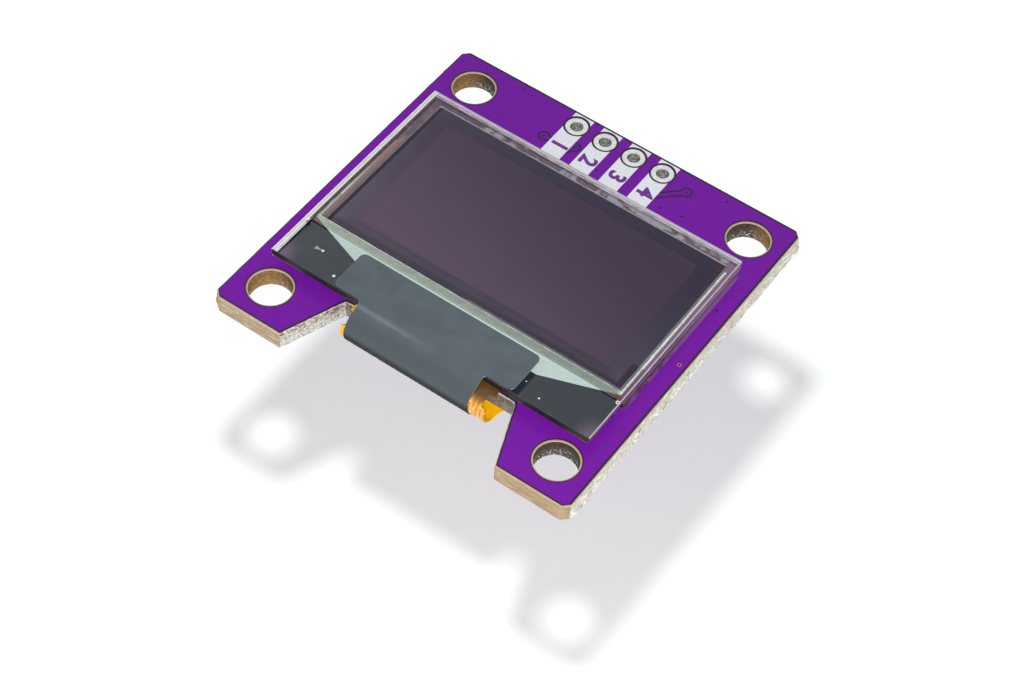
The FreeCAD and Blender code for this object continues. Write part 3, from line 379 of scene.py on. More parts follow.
def routed_notch(s):
    """The notch's speckled grey walls, brown in patches near the top, with painted shade on the root wall
    under the ledge.
    """
    _, y, z = s.place()
    _, along, _ = s.normal()
    speckle = s.noise(6.0, 4, 0.75)
    colour = s.mix(speckle.ramp(0.36, 0.54), srgb(112, 96, 82), srgb(206, 204, 198))
    patches = s.noise(3.4, 4, 0.6, (1, 1, 2)).ramp(0.46, 0.58)
    patches = patches.both(z.ramp(BOARD_TOP - 1.1, BOARD_TOP - 0.3))
    colour = s.mix(patches, colour, srgb(118, 96, 78))
    colour = s.mix(z.ramp(BOARD_TOP - 0.14, BOARD_TOP - 0.08, 0, 0.25), colour, srgb(200, 186, 170))
    # Painted shade on the root wall, which lies under the glass ledge.
    root = along.below(-0.8).both(y.above(NOTCH_TOP - 0.3))
    dark = s.mix(s.noise(5, 4, 0.75).ramp(0.4, 0.6), srgb(46, 40, 34), srgb(120, 110, 92))
    return s.mix(root * 0.8, colour, dark)


def drilled_hole(s):
    """A corner hole's striped wall with painted light and shade: golden on its lit side, dark on its
    shaded side with painted bright glints.
    """
    x, y, z = s.place()
    across, _, _ = s.normal()
    striped = s.noise(2.0, 4, 0.65, (2.5, 2.5, 10))
    # Painted light and shade: golden where the wall is taken as lit, dark where it is taken as shaded.
    on_right = x.above(0.0)
    lit_left = (across * 0.8 - y * 0.02).ramp(-0.5, 0.9).both(on_right.invert())
    lit_right = (across * -1).ramp(-0.6, 0.7).both(on_right).both(y.above(0.0))
    lit_side = lit_left.either(lit_right)
    dark = s.mix(striped.ramp(0.35, 0.65), srgb(34, 29, 26), srgb(84, 71, 58))
    golden = s.mix(striped.ramp(0.35, 0.65), srgb(98, 70, 34), srgb(176, 138, 84))
    colour = s.mix(lit_side, dark, golden)
    # Painted glints of light on the shaded side, lower in the hole.
    painted_glints = s.noise(8, 4, 0.75).ramp(0.56, 0.62).both(z.ramp(BOARD_TOP - 0.5, 0.35))
    colour = s.mix(painted_glints.both(lit_side.invert()), colour, srgb(232, 230, 224))
    return s.mix(z.ramp(BOARD_TOP - 0.10, BOARD_TOP - 0.05), colour, srgb(222, 196, 166))


def laminate():
    """Glass laminate: sawn in front and behind, torn at the sides, routed and drilled within."""
    s = Shader("laminate")
    x, y, z = s.place()
    _, _, up = s.normal()
    in_notch = from_notch(x, y).below(NOTCH_SKIN)
    in_notch = in_notch.both(y.between(CORE_LOW[1] + WALL_SKIN, NOTCH_TOP + NOTCH_SKIN))
    in_hole = round_holes(x, y, HOLE_RADIUS + WALL_SKIN)
    colour = s.mix(x.size().above(HALF_BOARD - WALL_SKIN), sawn_edge(s), torn_side(s))
    colour = s.mix(in_notch, colour, routed_notch(s))
    colour = s.mix(in_hole, colour, drilled_hole(s))
    rim = up.size().above(LEVEL).both(z.above(BOARD_TOP - GROOVE_START))
    colour = s.mix(rim, colour, s.mix(in_hole, srgb(176, 152, 128), srgb(214, 188, 160)))
    near_notch = from_notch(x, y).below(NOTCH_RIM)
    near_notch = near_notch.both(y.between(CORE_LOW[1] + NOTCH_SKIN, NOTCH_TOP + NOTCH_RIM))
    colour = s.mix(rim.both(near_notch), colour, DARK_LINE)
    relief = s.noise(4, 4, 0.65, (3, 3, 8))
    return s.finish(s.solid(colour, 0.75, s.bump(relief, 0.6, 0.05), Specular_IOR_Level=0.25))


def ink():
    """White print with light wear, dark where a ring round a pad crosses it."""
    s = Shader("ink")
    x, y, z = s.place()
    wear = s.noise(9, 4).ramp(0.45, 0.8)
    colour = s.mix(wear, srgb(228, 232, 237), srgb(206, 208, 220))
    colour = s.mix(round_pads(x, y).both(z.above(0.0)), colour, DARK_LINE)
    return s.finish(s.solid(colour, 0.6, s.bump(s.noise(18, 3), 0.25, 0.01), Specular_IOR_Level=0.2))


def tin(name, tone=(0.62, 0.62, 0.60)):
    """Tinned copper with the shallow lumps of molten solder."""
    s = Shader(name)
    lumps = s.noise(3.2, 3)
    colour = s.mix(lumps.ramp(0.35, 0.7), [part * 0.72 for part in tone], tone)
    rough = lumps.ramp(0.2, 0.8, 0.32, 0.5)
    return s.finish(s.solid(colour, rough, s.bump(lumps, 0.7, 0.05), Metallic=0.85))


def pad_metal():
    """A satin white-metal pad round a hole whose wall is dull and speckled."""
    s = Shader("pad_metal")
    _, _, z = s.place()
    _, _, up = s.normal()
    speck = s.noise(8, 4, 0.7)
    wall = s.mix(speck.ramp(0.40, 0.62), srgb(66, 70, 58), srgb(196, 200, 188))
    wall = s.mix(z.ramp(BOARD_TOP - 0.12, BOARD_TOP + 0.04), wall, srgb(236, 238, 236))
    face = s.mix(s.noise(4, 3).ramp(0.35, 0.7), srgb(208, 212, 214), srgb(228, 232, 233))
    colour = s.mix(up.size().above(PAD_FACE), wall, face)
    rough = s.noise(5, 2).ramp(0.3, 0.7, 0.34, 0.5)
    return s.finish(s.solid(colour, rough, s.bump(speck, 0.35, 0.03), Metallic=0.25,
                            Specular_IOR_Level=0.5))


# Panel


GLASS_IOR = 1.22
FLAT = 0.9
# The white of the painted lines of light along the glass's edges.
PAINTED_LIGHT_WHITE = srgb(236, 236, 234)
EDGE_LIGHT = GLASS_LOW[0] + 0.09
INNER_LIGHT = GLASS_LOW[0] + 0.32
BLOBS = [((13.22, -6.62), 0.15, 0.07), ((-13.2, -6.55), 0.14, 0.06)]


def near_wall(x, y, low, high, reach):
    """1 outside a flat piece's outline in plan, and within that reach inside it."""
    across = (x - low[0]).least(x * -1 + high[0])
    along = (y - low[1]).least(y * -1 + high[1])
    return across.least(along).below(reach)


def glass_walls(s, low, high):
    """The cut edges of a glass: pale left and back, a cut edge's whiteness with painted light in it,
    streaked mauve at the right with a painted highlight along its top and painted shade at its foot, dark
    in front.
    """
    x, y, z = s.place()
    across, along, _ = s.normal()
    streak = s.noise(3.0, 4, 0.6, (1, 0.45, 9))
    mauve = s.mix(streak.ramp(0.36, 0.62), srgb(84, 58, 70), srgb(150, 124, 142))
    brown = s.mix(streak.ramp(0.40, 0.60), srgb(48, 28, 36), srgb(112, 84, 92))
    right = s.mix(y.ramp(4.5, -2.0, 0.0, 0.95), mauve, brown)
    # Painted highlight along the top of the right side, and painted shade at its foot.
    right = s.mix(z.ramp(high[2] - 0.16, high[2] - 0.04), right, srgb(170, 154, 170))
    right = s.mix(z.ramp(low[2] + 0.14, low[2] + 0.03), right, srgb(70, 50, 60))
    # Pale back and left walls: a cut edge's whiteness with painted light in it.
    back_light_grain = s.noise(2.0, 3, 0.5, (0.6, 1, 4))
    back = s.mix(back_light_grain.ramp(0.35, 0.65), srgb(150, 140, 152), srgb(196, 190, 202))
    mottled = s.noise(5.0, 4, 0.7, (1, 1, 3))
    front = s.mix(mottled.ramp(0.48, 0.72), srgb(30, 25, 30), srgb(76, 64, 58))
    bright = s.noise(3.0, 3, 0.5, (1, 0.4, 4))
    left = s.mix(bright.ramp(0.3, 0.5), srgb(190, 188, 188), srgb(240, 240, 238))
    side = s.mix(x.above(0.0), left, right)
    level = s.mix(y.above((low[1] + high[1]) / 2), front, back)
    return s.mix(across.size().above(along.size()), level, side)


def edge_lights(s, x, y):
    """How bright the light caught in the front glass is along its edges and on its two blobs."""
    glint = s.noise(2.5, 3, 0.6, (1, 0.35, 1)).ramp(0.30, 0.50, 0.55, 1.0)
    left = x.near(EDGE_LIGHT, 0.09).either(x.near(INNER_LIGHT, 0.11)).either(x.below(INNER_LIGHT) * 0.35)
    front = y.near(GLASS_LOW[1] + 0.03, 0.05) * 0.30
    back = y.near(GLASS_HIGH[1] - 0.22, 0.10).either(y.above(GLASS_HIGH[1] - 0.12) * 0.75)
    right = x.above(GLASS_HIGH[0] - 0.08) * 0.45
    lights = left.both(glint).either(front).either(back * 0.62).either(right)
    for spot, outer, inner in BLOBS:
        lights = lights.either(s.ring(spot, outer, inner))
    return lights


def front_glass():
    """Thin clear glass, a weak mirror beside the polarizer, with painted lines of light along its edges
    and painted light and shade on its cut walls.
    """
    s = Shader("front_glass")
    x, y, _ = s.place()
    _, along, up = s.normal()
    entering = s.add("NewGeometry", output="Backfacing").invert()
    open_glass = near_wall(x, y, FILM_LOW, FILM_HIGH, 0.0).both(y.above(CAP_LOW[1]))
    mirror = s.add("BsdfGlossy", Color=(1.0, 0.96, 1.0), Roughness=0.02)
    clear = s.add("BsdfTransparent", Color=(0.985, 0.99, 0.985))
    strength = s.add("Fresnel", IOR=GLASS_IOR).both(entering.both(open_glass))
    face = s.shade(strength, clear, mirror)
    # Painted light: white lines where light is caught along the glass's edges.
    painted_edge_light = s.add("BsdfDiffuse", Color=PAINTED_LIGHT_WHITE)
    face = s.shade(edge_lights(s, x, y).both(entering), face, painted_edge_light)
    shine = along.ramp(-0.9, -0.5, 0.08, 0.6)
    # The cut walls, with their painted light and shade.
    walls_with_painted_light = s.solid(glass_walls(s, GLASS_LOW, GLASS_HIGH), 0.35, Specular_IOR_Level=shine)
    return s.finish(s.shade(up.size().above(FLAT), walls_with_painted_light, face))


def cap_glass():
    """The second glass: clear from above and below, with the same cut edges."""
    s = Shader("cap_glass")
    _, _, up = s.normal()
    clear = s.add("BsdfTransparent", Color=(0.98, 0.985, 0.98))
    walls_with_painted_light = s.solid(glass_walls(s, CAP_LOW, CAP_HIGH), 0.4, Specular_IOR_Level=0.5)
    return s.finish(s.shade(up.size().above(FLAT), walls_with_painted_light, clear))


def polarizer():
    """Smoked film with a satin face and a pale cut edge."""
    s = Shader("polarizer")
    x, y, _ = s.place()
    _, _, up = s.normal()
    entering = s.add("NewGeometry", output="Backfacing").invert()
    rough = s.noise(1.5, 2).ramp(0.3, 0.7, 0.08, 0.14)
    satin = s.add("BsdfGlossy", Color=(1.0, 0.90, 1.0), Roughness=rough)
    smoke = s.add("BsdfTransparent", Color=(0.52, 0.50, 0.53))
    clear = s.add("BsdfTransparent", Color=(1, 1, 1))
    face = s.shade(s.add("Fresnel", IOR=GLASS_IOR), smoke, satin)
    pale = s.add("BsdfDiffuse", Color=srgb(214, 218, 216))
    outer = near_wall(x, y, FILM_LOW, FILM_HIGH, 0.14)
    inner = near_wall(x, y, FILM_LOW, FILM_HIGH, 0.05)
    back_or_right = y.above(FILM_HIGH[1] - 0.2).either(x.above(0.0))
    face = s.shade(outer.both(inner.invert()).both(back_or_right) * 0.20, face, pale)
    face = s.shade(entering, clear, face)
    cut_noise = s.noise(3.0, 3, 0.6, (0.6, 0.6, 1))
    cut = s.mix(cut_noise.ramp(0.35, 0.6), srgb(168, 172, 172), srgb(226, 230, 226))
    return s.finish(s.shade(up.size().above(FLAT), s.solid(cut, 0.4), face))


def dark_film():
    """The mauve-grey layer round the pixels, lighter towards the left and the front."""
    s = Shader("dark_film")
    x, y, _ = s.place()
    tilt = (x * -0.35 - y).ramp(-14.0, 14.0)
    colour = s.mix(tilt, (0.101, 0.093, 0.157), (0.400, 0.350, 0.470))
    colour = s.mix(s.noise(0.35, 3).ramp(0.35, 0.65, 0.0, 0.15), colour, (0.10, 0.11, 0.17))
    beyond = x.ramp(FILM_LOW[0] - 0.1, DARK_LOW[0] + 0.05)
    open_left = s.mix(beyond, srgb(86, 79, 91), srgb(138, 114, 112))
    colour = s.mix(x.below(FILM_LOW[0]), colour, open_left)
    return s.finish_film(s.solid(colour, 0.45, Specular_IOR_Level=0.1))


def pixels():
    """The unlit pixel field, a warmer mauve than the layer round it, with its fine grain."""
    s = Shader("pixels")
    x, y, _ = s.place()
    tilt = (x * -0.5 - y).ramp(-12.0, 12.0)
    colour = s.mix(tilt, (0.184, 0.136, 0.217), (0.425, 0.317, 0.431))
    colour = s.mix(s.noise(6, 3, 0.7).ramp(0.3, 0.7, 0.0, 0.10), colour, (0.10, 0.07, 0.11))
    rim = near_wall(x, y, FIELD_LOW, FIELD_HIGH, 0.30)
    colour = s.mix(rim * 0.14, colour, (0.30, 0.15, 0.13))
    return s.finish_film(s.solid(colour, 0.45, Specular_IOR_Level=0.1))


def conductors():
    """Fine conductors: hatched grey-green over the cap, pale mint on the ledge, with a painted glinting
    line of light at the right.
    """
    s = Shader("conductors")
    x, y, _ = s.place()
    cap_edge = CAP_LOW[1]
    hatch = (x * 0.9 + y * 2.2).zigzag(0.22)
    strip = s.mix(hatch.ramp(0.2, 0.8), srgb(180, 194, 181), srgb(212, 223, 212))
    strip = s.mix(x.ramp(-8.0, 12.0, 0.0, 0.75), strip, srgb(158, 175, 164))
    strip = s.mix(y.near(DARK_LOW[1] - 0.05, 0.07), strip, srgb(232, 236, 228))
    mint = s.mix(x.zigzag(0.09).ramp(0.1, 0.9), srgb(192, 211, 205), srgb(206, 223, 218))
    mint = s.mix(s.noise(9, 3, 0.7).ramp(0.5, 0.7, 0, 0.6), mint, srgb(214, 226, 221))
    colour = s.mix(y.above(cap_edge), mint, strip)
    colour = s.mix(y.near(cap_edge, 0.06), colour, srgb(122, 134, 122))
    left_fade = x.below(DARK_LOW[0]).both(y.ramp(-4.5, 2.5))
    colour = s.mix(left_fade, colour, srgb(142, 120, 120))
    flank_noise = s.noise(3, 3, 0.6, (1, 0.5, 1))
    flank = s.mix(flank_noise.ramp(0.4, 0.6), srgb(146, 164, 150), srgb(192, 206, 194))
    flank = s.mix(y.ramp(-2.0, 3.0), flank, srgb(128, 118, 126))
    # Painted light: a glinting white line along the glass's right side.
    painted_glints = s.noise(7, 4, 0.75).ramp(0.50, 0.60)
    painted_light_line = x.near(DARK_HIGH[0] + 0.21, 0.20)
    flank = s.mix(painted_light_line.both(painted_glints + 0.6), flank, srgb(248, 246, 242))
    beside = x.above(DARK_HIGH[0] - 0.02).both(y.above(cap_edge + 0.3))
    colour = s.mix(beside, colour, flank)
    return s.finish_film(s.solid(colour, 0.35, Specular_IOR_Level=0.15))


def seal_bead():
    """Milky adhesive between the glasses, mauve with soft painted pale reflections at the back, browner
    in front.
    """
    s = Shader("seal_bead")
    x, y, _ = s.place()
    colour = s.mix(s.noise(3, 4).ramp(0.35, 0.65), srgb(96, 80, 94), srgb(118, 100, 114))
    # Painted reflections: soft pale patches at the back.
    blobs = s.noise(1.1, 2, 0.4).ramp(0.50, 0.62)
    at_back = y.above(DARK_HIGH[1]).both(x.above(-9.0))
    colour = s.mix(at_back.both(blobs), colour, srgb(158, 156, 160))
    colour = s.mix(x.above(DARK_HIGH[0]), colour, srgb(126, 104, 124))
    in_front = s.mix(x.above(0.0), srgb(150, 112, 116), srgb(122, 92, 76))
    colour = s.mix(y.below(CAP_LOW[1] + 0.35), colour, in_front)
    return s.finish_film(s.solid(colour, 0.4, Specular_IOR_Level=0.1))


LEDGE_DOTS = [((-8.86, -9.2), 0.11), ((-10.86, -7.86), 0.10), ((8.6, -9.2), 0.07), ((7.1, -8.55), 0.05)]
FUNNEL_TIP = (-10.87, -7.87)


def shade_film():
    """Near-black film under the ledge, with a painted line of light along its outer edge, a lilac fade
    and small clear marks.
    """
    s = Shader("shade_film")
    x, y, _ = s.place()
    colour = s.mix(x.ramp(-13.0, 13.0), (0.030, 0.040, 0.052), (0.018, 0.026, 0.037))
    colour = s.mix(s.noise(0.5, 3).ramp(0.3, 0.7, 0.0, 0.3), colour, (0.020, 0.026, 0.035))
    outward = x.size().ramp(11.6, 13.3).both(y.ramp(-7.8, -10.0))
    colour = s.mix(outward * 0.75, colour, srgb(118, 98, 126))
    # Painted light along the film's outer edge, where the glass's bevel catches light.
    colour = s.mix(x.below(GLASS_LOW[0] + 0.20), colour, PAINTED_LIGHT_WHITE)
    from_tip = x - FUNNEL_TIP[0]
    half = from_tip.ramp(0.0, -0.75, 0.02, 0.17)
    off_axis = (y - FUNNEL_TIP[1] - from_tip * 0.05).size()
    funnel = x.between(-11.5, -10.83).both(off_axis.below(half))
    colour = s.mix(funnel, colour, srgb(150, 158, 158))
    for spot, radius in LEDGE_DOTS:
        colour = s.mix(s.disc(spot, radius), colour, srgb(232, 236, 236))
    return s.finish_film(s.solid(colour, 0.2, Specular_IOR_Level=0.5))


# Tail and cover


TRACE_PITCH = 0.32
CREASE_Y = GLASS_LOW[1] - 0.30


def amber_film():
    """Polyimide over copper: amber with painted highlights on slanted creases, painted shade at the top
    under the glass, and painted yellow light where light comes through.
    """
    s = Shader("amber_film")
    x, _, z = s.place()
    _, along, _ = s.normal()
    traces = x.zigzag(TRACE_PITCH)
    amber = s.mix(traces.ramp(0.30, 0.70), srgb(186, 118, 34), srgb(222, 156, 60))
    # Painted highlights on slanted creases, which also bump the surface.
    crease = s.noise(2.2, 3, 0.6, (2.2, 0.5, 1.3)).ramp(0.56, 0.64)
    amber = s.mix(crease, amber, srgb(248, 196, 60))
    # Painted shade at the top, under the glass ledge.
    amber = s.mix(z.ramp(1.9, 2.4), amber, srgb(92, 60, 26))
    # Painted light: yellow on the inner side and where light comes through the lower, returning and left
    # parts, with a translucent part as well.
    yellow = s.mix(s.noise(2.0, 2).ramp(0.3, 0.7), srgb(250, 204, 0), srgb(240, 190, 4))
    returning = along.above(0.25).both(z.below(1.4))
    lit = z.ramp(0.75, 0.35).either(returning).either(x.below(-5.9))
    inner = s.add("NewGeometry", output="Backfacing")
    colour = s.mix(inner, s.mix(lit, amber, yellow), yellow)
    body = s.solid(colour, 0.32, s.bump(crease, 0.3, 0.04), Specular_IOR_Level=0.4)
    through = s.add("BsdfTranslucent", Color=srgb(250, 200, 10))
    return s.finish(s.shade(lit * 0.35, body, through))


def cover():
    """Satin grey tape: a fine grain, a painted highlight along the crease where it leaves the glass,
    painted shade on the slope and below the crease, and painted shade on the turn below.
    """
    s = Shader("cover")
    x, y, z = s.place()
    across, along, up = s.normal()
    grain = s.noise(26, 3)
    cloud = s.noise(0.6, 3)
    colour = s.mix(cloud.ramp(0.3, 0.7), srgb(86, 95, 102), srgb(93, 102, 109))
    # Painted shade on the slope that faces the front.
    colour = s.mix((along * -1).ramp(0.15, 0.8), colour, srgb(72, 79, 85))
    # Painted highlight along the crease, strongest at the left.
    crease = y.near(CREASE_Y, 0.26).both(x.ramp(1.0, -3.0, 0.0, 0.45))
    colour = s.mix(crease, colour, srgb(124, 132, 138))
    # Painted shade below the crease.
    colour = s.mix(y.ramp(CREASE_Y - 0.2, CREASE_Y - 1.0, 0.0, 0.6), colour, srgb(74, 80, 84))
    # Painted shade on the turn, where it faces down.
    colour = s.mix(up.ramp(0.28, -0.06), colour, srgb(38, 40, 44))
    colour = s.mix(across.above(0.6).both(z.above(1.6)), colour, srgb(178, 184, 186))
    return s.finish(s.solid(colour, 0.62, s.bump(grain, 0.12, 0.01), Specular_IOR_Level=0.08))


# Small parts


def speckled(name, dark, light, rough, scale=8.0, metallic=0.0):
    """A plain material with a fine speckle."""
    s = Shader(name)
    speck = s.noise(scale, 4)
    colour = s.mix(speck.ramp(0.35, 0.65), dark, light)
    return s.finish(s.solid(colour, rough, s.bump(speck, 0.25, 0.01), Metallic=metallic))


def foam_edge():
    """Mauve-brown foam tape, streaked along its edge, with a painted contact shadow against the board."""
    s = Shader("foam_edge")
    _, _, z = s.place()
    streak = s.noise(4.0, 3, 0.6, (1, 0.6, 5))
    colour = s.mix(streak.ramp(0.35, 0.65), srgb(96, 62, 78), srgb(140, 104, 122))
    # Painted contact shadow where the tape meets the board.
    colour = s.mix(z.ramp(MASK_HIGH[2] + 0.12, MASK_HIGH[2]), colour, srgb(48, 18, 58))
    return s.finish(s.solid(colour, 0.8))


def matching(pattern):
    """The nodes of that name, or of every name that starts as the pattern does before its star."""
    if pattern.endswith("*"):
        return [name for name in NODES if name.startswith(pattern[:-1])]
    return [name for name in NODES if name == pattern]


def dress(materials):
    """Puts each material on the nodes that its pattern stands for."""
    for pattern, material in materials.items():
        names = matching(pattern)
        if not names:
            raise RuntimeError(f"no node called {pattern}")
        for name in names:
            mesh = NODES[name].data
            mesh.materials.clear()
            mesh.materials.append(material)


dress({
    "pcb_core": laminate(),
    "solder_mask_*": lacquer(),
    "silkscreen_*": ink(),
    "header_eyelet_*": pad_metal(),
    "via_barrels": tin("via_copper", (0.75, 0.45, 0.28)),
    "solder_lands": tin("land_tin"),
    "tail_solder": tin("tail_solder"),
    "component_solder": tin("solder"),
    "regulator_leads": tin("lead_tin"),
    "panel_mounting_tape": foam_edge(),
    "cap_glass": cap_glass(),
    "front_glass": front_glass(),
    "panel_seal": seal_bead(),
    "desiccant_sheet": speckled("desiccant", (0.55, 0.55, 0.53), (0.65, 0.65, 0.63), 0.9),
    "electrode_film": dark_film(),
    "pixel_field": pixels(),
    "bus_traces": conductors(),
    "polarizer": polarizer(),
    "ledge_shade_*": shade_film(),
    "driver_ic": speckled("silicon", (0.10, 0.11, 0.12), (0.14, 0.15, 0.17), 0.2, 3.0, 0.5),
    "flex_tail": amber_film(),
    "tail_bond_film": speckled("bond", (0.30, 0.25, 0.17), (0.38, 0.32, 0.23), 0.5),
    "cover_tape": cover(),
    "regulator_body": speckled("epoxy", (0.022, 0.022, 0.024), (0.034, 0.034, 0.036), 0.55, 12.0),
    "capacitor_*": speckled("ceramic", (0.30, 0.20, 0.13), (0.38, 0.26, 0.17), 0.5, 6.0),
    "resistor_*": speckled("resistor_coat", (0.014, 0.014, 0.016), (0.022, 0.022, 0.024), 0.3, 5.0),
})
END_TIN = tin("end_tin", (0.72, 0.72, 0.70))
dress({name: END_TIN for name in NODES if name.endswith("_terminals")})


# Torn fibres along the board's scored edges


FIBRE_STEP = 0.12
FIBRE_ROWS = 13
FIBRE_ROOT = 0.04
FIBRE_LIFT = 0.003
FIBRE_TAPER = 0.15
FIBRE_SWELL = 0.7
FIBRE_LEAST = 0.12
FIBRE_MEAN = 0.55
FIBRE_WAVES = [(0.5, 0.0, 0.35), (1.1, 9.0, 0.55), (4.5, 14.0, 0.55)]
FIBRE_TOP = BOARD_TOP - 0.06
FIBRE_FOOT = 0.03
LAMINATE = NODES["pcb_core"].data.materials[0]


def fibre_reach(along, share, reach, seed):
    """How far torn fibres stand out, at a distance along an edge and a share of the way down it.

    Each wave of the noise has its features a millimetre, its layers down the edge and its strength.
    """
    swell = math.sin(math.pi * share) ** FIBRE_SWELL
    stand = FIBRE_MEAN
    for fineness, layers, strength in FIBRE_WAVES:
        stand += strength * noise.noise(Vector((along * fineness, seed, share * layers)))
    return reach * swell * max(FIBRE_LEAST, stand)


def torn_edge(name, start, end, reach, seed):
    """A closed strip of torn laminate along one straight edge, rooted just inside the board."""
    run = Vector(end) - Vector(start)
    length = run.length
    way = run / length
    out = Vector((way.y, -way.x))
    steps = math.ceil(length / FIBRE_STEP)
    verts = []
    for step in range(steps + 1):
        along = length * step / steps
        ends = min(1.0, along / FIBRE_TAPER, (length - along) / FIBRE_TAPER)
        ring = [(FIBRE_TOP, -FIBRE_ROOT)]
        for row in range(FIBRE_ROWS):
            share = row / (FIBRE_ROWS - 1)
            height = FIBRE_TOP + (FIBRE_FOOT - FIBRE_TOP) * share
            ring.append((height, FIBRE_LIFT + ends * fibre_reach(along, share, reach, seed)))
        ring.append((FIBRE_FOOT, -FIBRE_ROOT))
        for height, offset in ring:
            spot = Vector(start) + way * along + out * offset
            verts.append((spot.x * MM, spot.y * MM, height * MM))
    count = FIBRE_ROWS + 2
    faces = [tuple(range(count)), tuple(reversed(range(steps * count, (steps + 1) * count)))]
    for step in range(steps):
        for row in range(count):
            a, b = step * count + row, step * count + (row + 1) % count
            faces.append((b, a, a + count, b + count))
    mesh = bpy.data.meshes.new(name)
    mesh.from_pydata(verts, [], faces)
    mesh.materials.append(LAMINATE)
    mesh.validate()
    piece = bpy.data.objects.new(name, mesh)
    bpy.context.scene.collection.objects.link(piece)
    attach(piece, "root")


MOUTH = NOTCH_HALF + (NOTCH_TOP + HALF_BOARD) * NOTCH_SLOPE
TORN_EDGES = [
    ("torn_edge_right", (HALF_BOARD, -CORNER), (HALF_BOARD, CORNER), 0.30, 3.7),
    ("torn_edge_back", (CORNER, HALF_BOARD), (-CORNER, HALF_BOARD), 0.10, 11.3),
    ("torn_edge_left", (-HALF_BOARD, CORNER), (-HALF_BOARD, -CORNER), 0.26, 19.1),
    ("torn_edge_front_left", (-CORNER, -HALF_BOARD), (-MOUTH, -HALF_BOARD), 0.12, 27.9),
    ("torn_edge_front_right", (MOUTH, -HALF_BOARD), (CORNER, -HALF_BOARD), 0.12, 35.2),
    ("torn_corner_front_left", (-HALF_BOARD, -CORNER), (-CORNER, -HALF_BOARD), 0.20, 41.6),
    ("torn_corner_front_right", (CORNER, -HALF_BOARD), (HALF_BOARD, -CORNER), 0.14, 47.3),
    ("torn_corner_back_right", (HALF_BOARD, CORNER), (CORNER, HALF_BOARD), 0.14, 53.8),
    ("torn_corner_back_left", (-CORNER, HALF_BOARD), (-HALF_BOARD, CORNER), 0.14, 59.4),
]
for NAME, START, END, REACH, SEED in TORN_EDGES:
    torn_edge(NAME, START, END, REACH, SEED)


# Numerals on the printed bars


NUMERAL_HEIGHT = 1.30
NUMERAL_LIFT = 0.004
NUMERAL_THICKNESS = 0.012
NUMERAL_STROKE = 0.06
NUMERAL_DROP = 1.50
CAPITAL_SHARE = 0.7


def numeral(number, spot, material):
    """A plain numeral printed in the bar below a header pad, read from the board's side."""
    curve = bpy.data.curves.new(f"numeral_{number}", "FONT")
    curve.body = str(number)
    curve.align_x = "CENTER"
    curve.align_y = "CENTER"
    curve.size = NUMERAL_HEIGHT / CAPITAL_SHARE * MM
    curve.offset = NUMERAL_STROKE * MM
    curve.resolution_u = 4
    curve.extrude = NUMERAL_THICKNESS / 2 * MM
    text = bpy.data.objects.new(f"numeral_{number}", curve)
    bpy.context.scene.collection.objects.link(text)
    text.rotation_euler = (0, 0, -math.pi / 2)
    text.location = Vector((spot[0], spot[1] - PAD_RADIUS - NUMERAL_DROP, INK_TOP + NUMERAL_LIFT)) * MM
    bpy.context.view_layer.update()
    depsgraph = bpy.context.evaluated_depsgraph_get()
    mesh = bpy.data.meshes.new_from_object(text.evaluated_get(depsgraph))
    piece = bpy.data.objects.new(f"numeral_{number}_print", mesh)
    bpy.context.scene.collection.objects.link(piece)
    piece.matrix_world = text.matrix_world.copy()
    bpy.data.objects.remove(text)
    mesh.materials.clear()
    mesh.materials.append(material)
    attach(piece, "root")


NUMERAL_INK = speckled("numeral", (0.12, 0.008, 0.22), (0.15, 0.012, 0.27), 0.4)
for NUMBER, SPOT in enumerate(PAD_SPOTS, 1):
    numeral(NUMBER, SPOT, NUMERAL_INK)


# Floor, light and camera


FLOOR_DROP = 16.0
FLOOR_HALF = 3000.0
FLOOR_COLOUR = (0.728, 0.757, 0.742)
GLOW_START = 20.0
GLOW_FULL = 75.0
TARGET = Vector((0.0, 0.0, BOARD_TOP))
CAMERA_PLACE = Vector((57.56, -93.28, 133.46))
CAMERA_WAY = Vector((-0.3206, 0.5238, -0.7892))
CAMERA_ROLL = math.radians(4.76)
CAMERA_LENS_MM = 85.1
SENSOR_MM = 36.0
SHADOW_PLACE = Vector((-10.0, -10.0, 147.0))
SHADOW_RADIUS = 12.0
SHADOW_LEVEL = 0.70
FRONT_DISTANCE = 1.3
FRONT_RADIUS = 6.0
FRONT_LEVEL = 0.78
FILL_LEVEL = 0.22


def backdrop_rays(tree):
    """1 for the rays that should see the plain white backdrop."""
    path = tree.nodes.new("ShaderNodeLightPath")
    total = path.outputs["Is Camera Ray"]
    for name in ("Is Glossy Ray", "Is Transmission Ray"):
        node = tree.nodes.new("ShaderNodeMath")
        node.operation = "MAXIMUM"
        tree.links.new(total, node.inputs[0])
        tree.links.new(path.outputs[name], node.inputs[1])
        total = node.outputs[0]
    return total


